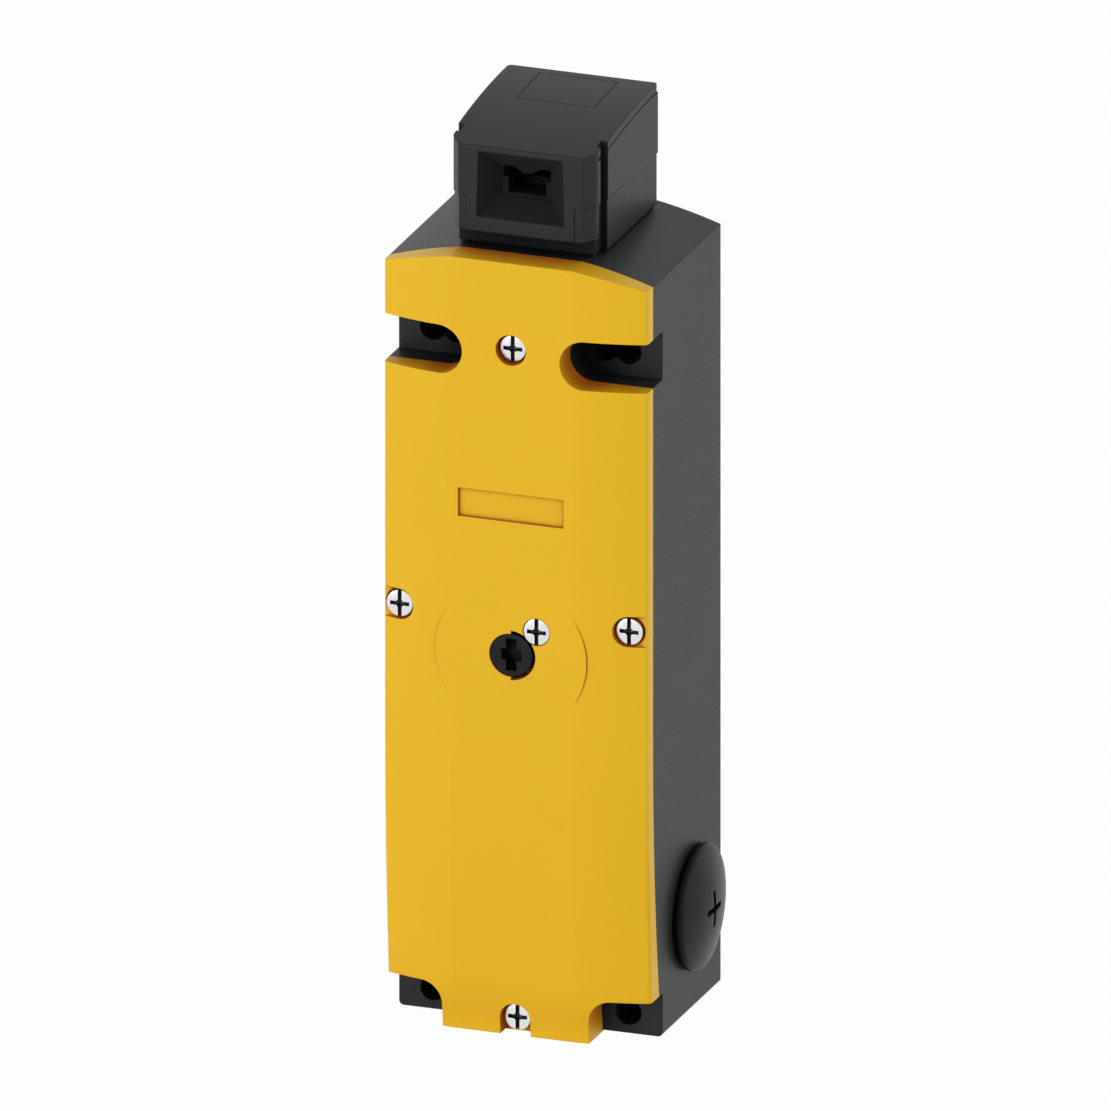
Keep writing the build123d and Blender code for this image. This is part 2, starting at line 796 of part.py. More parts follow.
with BuildPart() as coil_bobbin:
    with BuildSketch(axis_plane):
        with BuildLine():
            Polyline(
                (bobbin_bore, coil_bottom),
                (bobbin_flange_radius, coil_bottom),
                (bobbin_flange_radius, coil_bottom + bobbin_flange),
                (bobbin_tube, coil_bottom + bobbin_flange),
                (bobbin_tube, coil_top - bobbin_flange),
                (bobbin_flange_radius, coil_top - bobbin_flange),
                (bobbin_flange_radius, coil_top),
                (bobbin_bore, coil_top),
                close=True,
            )
        make_face()
    revolve(axis=head_axis)
coil_bobbin.part.label = "coil_bobbin"
export_step(coil_bobbin.part, "parts/coil_bobbin.step")

with BuildPart() as coil_winding:
    with BuildSketch(Plane.XY.offset(coil_bottom + bobbin_flange)):
        with Locations((0, y_of(head_axis_depth))):
            Circle(winding_radius)
            Circle(bobbin_tube, mode=Mode.SUBTRACT)
    extrude(amount=coil_top - coil_bottom - 2 * bobbin_flange)
coil_winding.part.label = "coil_winding"
export_step(coil_winding.part, "parts/coil_winding.step")

with BuildPart() as pole_piece:
    with BuildSketch(Plane.XY.offset(coil_bottom)):
        with Locations((0, y_of(head_axis_depth))):
            Circle(armature_radius)
    extrude(amount=pole_top - coil_bottom)
    with BuildSketch(Plane.XY.offset(yoke_bottom)):
        with Locations((0, y_of(head_axis_depth))):
            Circle(pole_stud_radius)
    extrude(amount=yoke_plate)
pole_piece.part.label = "pole_piece"
export_step(pole_piece.part, "parts/pole_piece.step")

with BuildPart() as armature:
    with BuildSketch(Plane.XY.offset(armature_bottom)):
        with Locations((0, y_of(head_axis_depth))):
            Circle(armature_radius)
    extrude(amount=yoke_top - 1 - armature_bottom)
    with BuildSketch(Plane.XY.offset(armature_bottom)):
        with Locations((0, y_of(head_axis_depth))):
            Circle(armature_rod_radius)
    extrude(amount=armature_rod_top - armature_bottom)
armature.part.label = "armature"
export_step(armature.part, "parts/armature.step")

# Slotted block on the armature rod, which the eccentric pin of the release pulls down
with BuildPart() as armature_collar:
    with BuildSketch(Plane.XY.offset(collar_bottom)):
        with Locations((0, y_of(head_axis_depth))):
            Circle(collar_half_width)
        with Locations((0, y_of((head_axis_depth + collar_front) / 2))):
            Rectangle(2 * collar_half_width, collar_front - head_axis_depth)
        with Locations((0, y_of(collar_front + cut_reach))):
            Rectangle(4 * collar_half_width, 2 * cut_reach, mode=Mode.SUBTRACT)
    extrude(amount=collar_top - collar_bottom)
    with BuildSketch(Plane.XY.offset(collar_bottom - 1)):
        with Locations((0, y_of(head_axis_depth))):
            Circle(armature_rod_radius)
    extrude(amount=collar_top - collar_bottom + 2, mode=Mode.SUBTRACT)
    with BuildSketch(at_depth(release_pin_end - 0.5)):
        with Locations((release_pin_offset * 0.85, release_pin_z)):
            Rectangle(
                2 * (release_pin_radius + collar_slot_gap + release_pin_offset * 0.15) + 0.3,
                2 * (release_pin_radius + collar_slot_gap),
            )
    extrude(amount=body_depth, mode=Mode.SUBTRACT)
armature_collar.part.label = "armature_collar"
export_step(armature_collar.part, "parts/armature_collar.step")


def coil_spring(bottom, top, inner):
    """Closed sleeve with the outline of a compression spring."""
    with BuildPart() as sleeve:
        with BuildSketch(Plane.XY.offset(bottom)):
            with Locations((0, y_of(head_axis_depth))):
                Circle(inner + spring_wire)
                Circle(inner, mode=Mode.SUBTRACT)
        extrude(amount=top - bottom)
    return sleeve


armature_spring = coil_spring(yoke_top, collar_bottom, armature_radius + 0.3)
armature_spring.part.label = "armature_spring"
export_step(armature_spring.part, "parts/armature_spring.step")

# Contact blocks for the lock below and for the tongue above, and the terminals
rear_y = y_of(wall)
with BuildPart() as contact_block_lower:
    with BuildSketch(Plane.XY.offset(lower_block_bottom)):
        with Locations((0, (rear_y + y_of(block_front)) / 2)):
            Rectangle(2 * block_half_width, block_front - wall)
        with Locations((0, y_of(head_axis_depth))):
            Circle(armature_rod_radius + 2 * fit, mode=Mode.SUBTRACT)
    extrude(amount=lower_block_top - lower_block_bottom)
contact_block_lower.part.label = "contact_block_lower"
export_step(contact_block_lower.part, "parts/contact_block_lower.step")

with BuildPart() as contact_block_upper:
    with BuildSketch(Plane.XY.offset(upper_block_bottom)):
        with Locations((0, (rear_y + y_of(block_front)) / 2)):
            Rectangle(2 * block_half_width, block_front - wall)
        with Locations((0, y_of(head_axis_depth))):
            Circle(plunger_radius + fit, mode=Mode.SUBTRACT)
    extrude(amount=upper_block_top - upper_block_bottom)
contact_block_upper.part.label = "contact_block_upper"
export_step(contact_block_upper.part, "parts/contact_block_upper.step")

terminal_middle = (terminal_bottom + terminal_top) / 2
with BuildPart() as terminal_block:
    with BuildSketch(at_depth(wall)):
        with Locations((0, terminal_middle)):
            Rectangle(2 * block_half_width, terminal_top - terminal_bottom)
    extrude(amount=terminal_front - wall)
    with BuildSketch(at_depth(terminal_front - terminal_well)):
        with Locations((0, terminal_middle)):
            with GridLocations(terminal_pitch, 1, terminal_count, 1):
                Circle(terminal_screw_radius + 0.3)
    extrude(amount=terminal_well, mode=Mode.SUBTRACT)
terminal_block.part.label = "terminal_block"
export_step(terminal_block.part, "parts/terminal_block.step")

with BuildPart() as terminal_screws:
    with BuildSketch(at_depth(terminal_front - terminal_well)):
        with Locations((0, terminal_middle)):
            with GridLocations(terminal_pitch, 1, terminal_count, 1):
                Circle(terminal_screw_radius)
    extrude(amount=terminal_well - 1)
    with BuildSketch(at_depth(terminal_front - 2)):
        with Locations((0, terminal_middle)):
            with GridLocations(terminal_pitch, 1, terminal_count, 1):
                Rectangle(screw_slot_width, 2 * terminal_screw_radius)
    extrude(amount=terminal_well, mode=Mode.SUBTRACT)
terminal_screws.part.label = "terminal_screws"
export_step(terminal_screws.part, "parts/terminal_screws.step")

# Plunger with its guide bush and spring
tip_height = cam_height - cam_radius - plunger_gap - plunger_tip
with BuildPart() as plunger_bush:
    with BuildSketch(axis_plane):
        with BuildLine():
            Polyline(
                (plunger_radius + fit, bush_bottom),
                (bush_sleeve_radius, bush_bottom),
                (bush_sleeve_radius, bush_floor),
                (neck_bore - fit, bush_floor),
                (neck_bore - fit, bush_floor + bush_flange_height),
                (plunger_radius + fit, bush_floor + bush_flange_height),
                close=True,
            )
        make_face()
    revolve(axis=head_axis)
plunger_bush.part.label = "plunger_bush"
export_step(plunger_bush.part, "parts/plunger_bush.step")

with BuildPart() as plunger:
    with BuildSketch(axis_plane):
        with BuildLine():
            Polyline(
                (0, plunger_bottom),
                (plunger_radius, plunger_bottom),
                (plunger_radius, plunger_collar_bottom),
                (plunger_collar_radius, plunger_collar_bottom),
                (plunger_collar_radius, plunger_collar_bottom + plunger_collar_height),
                (plunger_radius, plunger_collar_bottom + plunger_collar_height),
                (plunger_radius, tip_height - plunger_neck_length),
                (plunger_tip, tip_height - plunger_neck_length + plunger_radius - plunger_tip),
                (plunger_tip, tip_height),
            )
            RadiusArc((plunger_tip, tip_height), (0, tip_height + plunger_tip), -plunger_tip)
            Line((0, tip_height + plunger_tip), (0, plunger_bottom))
        make_face()
    revolve(axis=head_axis)
plunger.part.label = "plunger"
export_step(plunger.part, "parts/plunger.step")

plunger_spring = coil_spring(upper_block_top, plunger_collar_bottom, plunger_radius + 0.4)
plunger_spring.part.label = "plunger_spring"
export_step(plunger_spring.part, "parts/plunger_spring.step")


# Cam wheel: its spiral is the curve that keeps the round tip at a constant clearance
def cam_point(degrees):
    """Point of the cam below the tip, with angles counted from straight down to the back."""
    slope = plunger_stroke / math.radians(cam_travel)
    swept = math.radians(min(max(degrees, 0), cam_travel))
    reach = cam_radius + plunger_gap + plunger_tip - slope * swept
    inward = plunger_tip + plunger_gap
    if 0 < degrees < cam_travel:
        tilt = math.atan(slope / reach)
    else:
        tilt = 0
    a = math.radians(degrees)
    along = inward * math.sin(tilt)
    down = reach - inward * math.cos(tilt)
    return (
        down * math.sin(a) - along * math.cos(a),
        -down * math.cos(a) - along * math.sin(a),
    )


cam_origin = (y_of(head_axis_depth), cam_height)
cam_plane = Plane(
    origin=(-cam_thickness / 2, cam_origin[0], cam_origin[1]), x_dir=(0, 1, 0), z_dir=(1, 0, 0)
)
tip_angle = math.degrees(math.asin((plunger_tip + cam_clearance) / (cam_radius - plunger_stroke)))
notch_start = cam_travel + tip_angle + 4
with BuildPart() as cam_wheel:
    with BuildSketch(cam_plane):
        Circle(cam_radius)
    extrude(amount=cam_thickness)
    spiral = [cam_point(a) for a in (0.5, 12, 24, 36, 49.5)]
    floor = [cam_point(a) for a in (cam_travel + 1, (cam_travel + notch_start) / 2, notch_start)]
    out = 2 * cam_radius
    start = spiral[0]
    last = math.radians(notch_start)
    with BuildSketch(cam_plane):
        with BuildLine():
            Spline(*spiral)
            Polyline(
                spiral[-1],
                *floor,
                (out * math.sin(last), -out * math.cos(last)),
                (out * math.sin(last / 2), -out * math.cos(last / 2) - out),
                (start[0], start[1] - out / 3),
                start,
            )
        make_face()
    extrude(amount=cam_thickness, mode=Mode.SUBTRACT)
    # Mouth that takes the cross bar of the tongue, and the bore of the axle
    mouth = Plane(
        origin=(-cam_thickness / 2, cam_origin[0], cam_origin[1]),
        x_dir=(0, -math.cos(math.radians(cam_mouth_angle)), math.sin(math.radians(cam_mouth_angle))),
        z_dir=(1, 0, 0),
    )
    with BuildSketch(mouth):
        with Locations((cam_radius, 0)):
            Rectangle(2 * cam_mouth_depth, cam_mouth_width)
    extrude(amount=cam_thickness, mode=Mode.SUBTRACT)
    with BuildSketch(cam_plane):
        Circle(axle_radius + fit)
    extrude(amount=cam_thickness, mode=Mode.SUBTRACT)
cam_wheel.part.label = "cam_wheel"
export_step(cam_wheel.part, "parts/cam_wheel.step")

with BuildPart() as cam_axle:
    with BuildSketch(Plane.YZ.offset(-axle_half_length)):
        with Locations(cam_origin):
            Circle(axle_radius)
    extrude(amount=2 * axle_half_length)
cam_axle.part.label = "cam_axle"
export_step(cam_axle.part, "parts/cam_axle.step")


# Tapering mouth from the face of the bezel down to the tongue slot, carried on past the face
funnel_depth = bezel_front - funnel_inner_depth
funnel_past = 1 + cut_past / funnel_depth


def past(inner, outer):
    """A funnel edge carried on past the face of the bezel."""
    return inner + (outer - inner) * funnel_past


with BuildPart() as funnel:
    with BuildSketch(at_depth(bezel_front + cut_past)):
        with BuildLine():
            Polyline(
                (-past(tongue_half_wide, funnel_half_bottom), past(tongue_bottom, funnel_bottom)),
                (past(tongue_half_wide, funnel_half_bottom), past(tongue_bottom, funnel_bottom)),
                (past(tongue_half_wide, funnel_half_top), past(tongue_top, funnel_top)),
                (-past(tongue_half_wide, funnel_half_top), past(tongue_top, funnel_top)),
                close=True,
            )
        make_face()
    with BuildSketch(at_depth(funnel_inner_depth)):
        with Locations((0, (tongue_bottom + tongue_top) / 2)):
            Rectangle(2 * tongue_half_wide, tongue_top - tongue_bottom)
    loft()


# The head seen from above, with an upright groove in each side behind the bezel
groove_half = head_width / 2 - groove_inset
with BuildSketch() as head_outline:
    with BuildLine():
        Polyline(
            (0, y_of(head_back)),
            (head_width / 2, y_of(head_back)),
            (head_width / 2, y_of(groove_back)),
            (groove_half, y_of(groove_back)),
            (groove_half, y_of(bezel_back)),
            (bezel_side_half, y_of(bezel_back)),
            (bezel_side_half, y_of(head_front)),
        )
        ThreePointArc(
            (bezel_side_half, y_of(head_front)),
            (bezel_side_half - 0.1, y_of(head_front + 0.7)),
            (bezel_side_half - 0.4, y_of(head_front + 1.3)),
        )
        Polyline(
            (bezel_side_half - 0.4, y_of(head_front + 1.3)),
            (bezel_flat_half, y_of(bezel_front)),
            (0, y_of(bezel_front)),
        )
        mirror(about=Plane.YZ)
    make_face()

# Material taken off the lower corners, which are set in all round
with BuildPart() as head_step:
    with BuildSketch(Plane.XY.offset(head_bottom - cut_past)):
        Rectangle(2 * head_width, 2 * body_depth)
        Rectangle(2 * head_step_inner, 2 * body_depth, mode=Mode.SUBTRACT)
        offset(head_outline.sketch, amount=-head_step_inset, mode=Mode.SUBTRACT)
    extrude(amount=head_step_height + cut_past)


# Head body with the wheel chamber, the tongue channel and the turning neck
with BuildPart() as head_body:
    with BuildSketch(Plane.YZ):
        with BuildLine():
            Polyline(
                (y_of(head_back), head_top(head_back) - hood_thickness),
                (y_of(head_back), head_bottom),
                (y_of(head_base_front), head_bottom),
                (y_of(head_base_front), bezel_bottom),
                (y_of(head_front), bezel_bottom),
                (y_of(head_front), head_top(head_front) - hood_thickness),
            )
            ThreePointArc(
                (y_of(head_front), head_top(head_front) - hood_thickness),
                (
                    y_of((head_front + head_back) / 2),
                    head_top((head_front + head_back) / 2) - hood_thickness,
                ),
                (y_of(head_back), head_top(head_back) - hood_thickness),
            )
        make_face()
    extrude(amount=head_width / 2, both=True)
    for side in (-1, 1):
        with BuildSketch(Plane.XY.offset(head_bottom)):
            with Locations(
                (side * head_width / 2, y_of((groove_back + head_front) / 2 + 1))
            ):
                Rectangle(2 * groove_inset, head_front - groove_back + 2)
        extrude(amount=body_height, mode=Mode.SUBTRACT)
    # Narrow line that is left open below the edge of the hood
    for side in (-1, 1):
        with BuildSketch(Plane.YZ.offset(side * (head_width / 2 - hood_line))):
            with BuildLine():
                for drop in (hood_thickness - 1, hood_thickness + hood_line):
                    ThreePointArc(
                        (y_of(head_back - 1), head_top(head_back - 1) - drop),
                        (y_of(head_axis_depth), head_top(head_axis_depth) - drop),
                        (y_of(groove_back + 1), head_top(groove_back + 1) - drop),
                    )
                for d in (head_back - 1, groove_back + 1):
                    Line(
                        (y_of(d), head_top(d) - hood_thickness + 1),
                        (y_of(d), head_top(d) - hood_thickness - hood_line),
                    )
            make_face()
        extrude(amount=side * 2 * hood_line, mode=Mode.SUBTRACT)
    add(head_step.part, mode=Mode.SUBTRACT)
    # Neck with the grooves of the retaining ring and the seal
    with BuildSketch(axis_plane):
        with BuildLine():
            Polyline(
                (0, neck_bottom),
                (neck_radius, neck_bottom),
                (neck_radius, neck_ring_bottom - seat_gap),
                (neck_ring_inner - seat_gap, neck_ring_bottom - seat_gap),
                (neck_ring_inner - seat_gap, neck_ring_bottom + neck_ring_thickness + seat_gap),
                (neck_radius, neck_ring_bottom + neck_ring_thickness + seat_gap),
                (neck_radius, neck_seal_bottom),
                (neck_seal_inner, neck_seal_bottom),
                (neck_seal_inner, neck_seal_bottom + neck_seal_height),
                (neck_radius, neck_seal_bottom + neck_seal_height),
                (neck_radius, head_bottom + 1),
                (0, head_bottom + 1),
                close=True,
            )
        make_face()
    revolve(axis=head_axis)
    # Wheel chamber, tongue channel, top channel, plunger bore and axle hole
    with BuildSketch(Plane.YZ.offset(-cam_thickness / 2 - cam_clearance)):
        with Locations(cam_origin):
            Circle(cam_radius + cam_clearance)
    extrude(amount=cam_thickness + 2 * cam_clearance, mode=Mode.SUBTRACT)
    with BuildSketch(at_depth(channel_back)):
        with Locations((0, (tongue_step + tongue_top) / 2)):
            Rectangle(2 * tongue_half_wide, tongue_top - tongue_step)
        with Locations((0, (tongue_bottom + tongue_step) / 2)):
            Rectangle(2 * tongue_half_narrow, tongue_step - tongue_bottom)
    extrude(amount=body_depth, mode=Mode.SUBTRACT)
    with BuildSketch(Plane.XY.offset(tongue_step)):
        with Locations((0, y_of((cap_back + cap_front) / 2))):
            Rectangle(2 * tongue_half_wide, cap_front - cap_back - 2 * cap_ledge)
    extrude(amount=body_height, mode=Mode.SUBTRACT)
    with BuildSketch(Plane.XY.offset(neck_bottom - 1)):
        with Locations((0, y_of(head_axis_depth))):
            Circle(plunger_radius + cam_clearance)
    extrude(amount=cam_height - neck_bottom, mode=Mode.SUBTRACT)
    with BuildSketch(Plane.YZ.offset(-axle_half_length)):
        with Locations(cam_origin):
            Circle(axle_radius + fit)
    extrude(amount=2 * axle_half_length, mode=Mode.SUBTRACT)
    add(funnel.part, mode=Mode.SUBTRACT)
    # Nose that hangs into the slot and guides the tongue
    with BuildSketch(at_depth(funnel_inner_depth - nose_length)):
        with BuildLine():
            Polyline(
                (-nose_half_top, tongue_top + 0.2),
                (-nose_half_bottom, tongue_top - nose_drop),
                (nose_half_bottom, tongue_top - nose_drop),
                (nose_half_top, tongue_top + 0.2),
                close=True,
            )
        make_face()
    extrude(amount=nose_length)
head_body.part.label = "head_body"
export_step(head_body.part, "parts/head_body.step")

# Hood: an arched top plate that turns down into the bezel around the funnel
with BuildPart() as head_hood:
    with BuildSketch(Plane.YZ) as hood_side:
        with BuildLine():
            Line(
                (y_of(head_back), head_top(head_back) - hood_thickness),
                (y_of(head_back), head_top(head_back)),
            )
            ThreePointArc(
                (y_of(head_back), head_top(head_back)),
                (y_of((bezel_front + head_back) / 2), head_top((bezel_front + head_back) / 2)),
                (y_of(bezel_front), head_top(bezel_front)),
            )
            Polyline(
                (y_of(bezel_front), head_top(bezel_front)),
                (y_of(bezel_front), bezel_bottom),
                (y_of(head_front), bezel_bottom),
                (y_of(head_front), head_top(head_front) - hood_thickness),
            )
            ThreePointArc(
                (y_of(head_front), head_top(head_front) - hood_thickness),
                (
                    y_of((head_front + head_back) / 2),
                    head_top((head_front + head_back) / 2) - hood_thickness,
                ),
                (y_of(head_back), head_top(head_back) - hood_thickness),
            )
        make_face()
    extrude(amount=head_width / 2, both=True)
    roof = head_hood.faces().sort_by(Axis.Z)[-1]
    fillet(
        roof.edges().filter_by(lambda e: abs(e.center().X) > head_width / 2 - 0.01),
        radius=hood_edge,
    )
    bezel_face = head_hood.faces().sort_by(Axis.Y)[0]
    fillet(bezel_face.edges().sort_by(Axis.Z)[-1], radius=bezel_edge)
    # Flanks of the bezel, which reach back beside the head body
    for side in (-1, 1):
        with BuildSketch(Plane.XY.offset(bezel_bottom)):
            with Locations(
                (side * (groove_half + bezel_side_half) / 2, y_of((bezel_back + head_front) / 2))
            ):
                Rectangle(bezel_side_half - groove_half, head_front - bezel_back)
        extrude(amount=head_top(bezel_front) - hood_thickness - bezel_bottom)
    with BuildSketch(Plane.XY.offset(head_bottom)):
        add(head_outline.sketch)
    extrude(amount=body_height, mode=Mode.INTERSECT)
    add(head_step.part, mode=Mode.SUBTRACT)
    add(funnel.part, mode=Mode.SUBTRACT)
    with BuildSketch(Plane.XY.offset(head_top(bezel_front) - 2 * hood_thickness)):
        with Locations((0, y_of((cap_back + cap_front) / 2))):
            Rectangle(
                2 * (cap_half_width + cap_gap), cap_front - cap_back + 2 * cap_gap
            )
    extrude(amount=body_height, mode=Mode.SUBTRACT)
head_hood.part.label = "head_hood"
export_step(head_hood.part, "parts/head_hood.step")

# Cap of the unused top entry, seated on the head body
with BuildPart() as top_entry_cap:
    with BuildSketch(Plane.YZ):
        with BuildLine():
            Line(
                (y_of(cap_back), head_top(cap_back) - hood_thickness),
                (y_of(cap_back), head_top(cap_back)),
            )
            ThreePointArc(
                (y_of(cap_back), head_top(cap_back)),
                (y_of((cap_front + cap_back) / 2), head_top((cap_front + cap_back) / 2)),
                (y_of(cap_front), head_top(cap_front)),
            )
            Line(
                (y_of(cap_front), head_top(cap_front)),
                (y_of(cap_front), head_top(cap_front) - hood_thickness),
            )
            ThreePointArc(
                (y_of(cap_front), head_top(cap_front) - hood_thickness),
                (
                    y_of((cap_front + cap_back) / 2),
                    head_top((cap_front + cap_back) / 2) - hood_thickness,
                ),
                (y_of(cap_back), head_top(cap_back) - hood_thickness),
            )
        make_face()
    extrude(amount=cap_half_width, both=True)
    with BuildSketch(Plane.XY.offset(head_top(cap_front) - hood_thickness - cap_plug)):
        with Locations((0, y_of((cap_back + cap_front) / 2))):
            Rectangle(
                2 * (tongue_half_wide - cap_gap),
                cap_front - cap_back - 2 * (cap_ledge + cap_gap),
            )
    extrude(amount=cap_plug + hood_thickness / 2)
top_entry_cap.part.label = "top_entry_cap"
export_step(top_entry_cap.part, "parts/top_entry_cap.step")

with BuildPart() as head_seal:
    with BuildSketch(Plane.XY.offset(neck_seal_bottom)):
        with Locations((0, y_of(head_axis_depth))):
            Circle(neck_bore - fit)
            Circle(neck_seal_inner, mode=Mode.SUBTRACT)
    extrude(amount=neck_seal_height)
head_seal.part.label = "head_seal"
export_step(head_seal.part, "parts/head_seal.step")

# Sprung ring that holds the neck down, open at the back
with BuildPart() as head_ring:
    with BuildSketch(Plane.XY.offset(neck_ring_bottom)):
        with Locations((0, y_of(head_axis_depth))):
            Circle(neck_ring_outer)
            Circle(neck_ring_inner, mode=Mode.SUBTRACT)
        with Locations((0, y_of(head_axis_depth) + neck_ring_outer)):
            Rectangle(ring_opening, neck_ring_outer, mode=Mode.SUBTRACT)
    extrude(amount=neck_ring_thickness)
head_ring.part.label = "head_ring"
export_step(head_ring.part, "parts/head_ring.step")
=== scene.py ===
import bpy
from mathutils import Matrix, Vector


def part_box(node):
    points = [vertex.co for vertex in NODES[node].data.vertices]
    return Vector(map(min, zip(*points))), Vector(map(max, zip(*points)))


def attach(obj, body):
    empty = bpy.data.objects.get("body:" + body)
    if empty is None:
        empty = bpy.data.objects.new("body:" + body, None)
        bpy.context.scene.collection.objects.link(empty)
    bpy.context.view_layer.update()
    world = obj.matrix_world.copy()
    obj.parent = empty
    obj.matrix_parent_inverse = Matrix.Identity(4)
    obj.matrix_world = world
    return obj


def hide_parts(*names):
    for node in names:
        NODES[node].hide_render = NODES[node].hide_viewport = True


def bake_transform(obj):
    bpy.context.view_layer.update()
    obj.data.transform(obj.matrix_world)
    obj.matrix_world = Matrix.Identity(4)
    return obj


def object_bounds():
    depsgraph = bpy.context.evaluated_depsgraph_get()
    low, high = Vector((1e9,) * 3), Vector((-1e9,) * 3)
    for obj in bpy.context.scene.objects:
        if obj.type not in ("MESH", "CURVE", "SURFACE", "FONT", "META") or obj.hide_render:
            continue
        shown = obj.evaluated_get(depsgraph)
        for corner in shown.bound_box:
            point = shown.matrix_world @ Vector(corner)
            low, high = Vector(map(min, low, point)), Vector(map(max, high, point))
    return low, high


bl_info = {
    "name": "Tongue Interlock Switch",
    "version": (1, 0, 0),
    "blender": (4, 5, 0),
    "location": "View3D > Sidebar > Interlock",
    "description": "Dresses the interlock switch: mouldings, screws, springs and studio",
    "category": "Object",
}

import math

import bmesh
import bpy
from mathutils import Matrix, Vector

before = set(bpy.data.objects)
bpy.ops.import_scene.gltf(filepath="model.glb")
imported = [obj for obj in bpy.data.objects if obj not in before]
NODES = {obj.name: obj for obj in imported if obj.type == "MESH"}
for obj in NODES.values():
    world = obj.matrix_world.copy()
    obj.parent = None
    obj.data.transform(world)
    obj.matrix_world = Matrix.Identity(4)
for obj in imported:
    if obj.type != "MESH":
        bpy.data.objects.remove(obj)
CAD_BOX = [list(corner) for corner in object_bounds()]

MM = 0.001

COVER_SCREWS = ("cover_screw_top", "cover_screw_left", "cover_screw_right", "cover_screw_bottom")

# Edges sharper than this stay sharp on the pieces made here
SHARP_ANGLE = math.radians(30)

# How far a surface looks for what hides it, for the painted shade in its cavities, and how much
# duller a hidden surface is
SHADE_REACH = 11 * MM
CAVITY_DULLING = 0.45

# The funnel in the bezel, measured from the lower edge and the front of the hood, and the colour
# of the shade painted in it
FUNNEL_HALF = 9.2 * MM
FUNNEL_RISE = 2.7 * MM
FUNNEL_HEIGHT = 13.8 * MM
FUNNEL_START = 0.05 * MM
FUNNEL_DEPTH = 4.1 * MM
FUNNEL_SHADE_COLOUR = (0.012, 0.0115, 0.012)

# The shade painted on the faces of a screw's drive marks
DRIVE_SHADE_COLOUR = (0.03, 0.03, 0.032)

# The copper under the outer layer of wire, in shares of the bobbin and of the wire's radius
CORE_SHARE = 0.55
CORE_DROP = 1.2

# The photograph is a parallel projection, turned 20 degrees to the right and 20 down
CAMERA_TURN = math.radians(20)
CAMERA_TILT = math.radians(20)
CAMERA_TARGET = Vector((0.001037, 0.000377, 0.0917))
CAMERA_WIDTH = 0.21394
CAMERA_DISTANCE = 1.5

# The studio, with the place, the size and the power in watts of its lamps
LAMP_AIM = (0, 0, 0.09)
KEY_PLACE, KEY_SIZE, KEY_POWER = (-1.05, -1.75, 0.42), (1.1, 1.1), 20.0
FILL_PLACE, FILL_SIZE, FILL_POWER = (1.2, 0.1, 0.3), (0.7, 0.9), 3.6
FLOOR_HALF = 3.0
FLOOR_COLOUR = (0.9, 0.9, 0.9, 1)
FLOOR_WHITE = 0.97

# Sockets of a Mix node, by their place, because several of them share a name
MIX_FLOAT_A, MIX_FLOAT_B, MIX_FLOAT_RESULT = 2, 3, 0
MIX_COLOUR_A, MIX_COLOUR_B, MIX_COLOUR_RESULT = 6, 7, 2


# Sizes and colours


class SwitchColours(bpy.types.PropertyGroup):
    """Colours of the mouldings and the plating, as linear values."""

    cover: bpy.props.FloatVectorProperty(
        name="Cover", description="Colour of the moulded cover",
        size=3, subtype="COLOR", min=0, max=1, default=(0.775, 0.455, 0.006),
    )
    housing: bpy.props.FloatVectorProperty(
        name="Housing", description="Colour of the housing and the head",
        size=3, subtype="COLOR", min=0, max=1, default=(0.0185, 0.0195, 0.0198),
    )
    plug: bpy.props.FloatVectorProperty(
        name="Plugs", description="Colour of the entry plugs",
        size=3, subtype="COLOR", min=0, max=1, default=(0.007, 0.007, 0.0075),
    )
    release: bpy.props.FloatVectorProperty(
        name="Release disc", description="Colour of the auxiliary release",
        size=3, subtype="COLOR", min=0, max=1, default=(0.008, 0.008, 0.0085),
    )
    plating: bpy.props.FloatVectorProperty(
        name="Plating", description="Colour of the plated screws",
        size=3, subtype="COLOR", min=0, max=1, default=(0.75, 0.74, 0.76),
    )


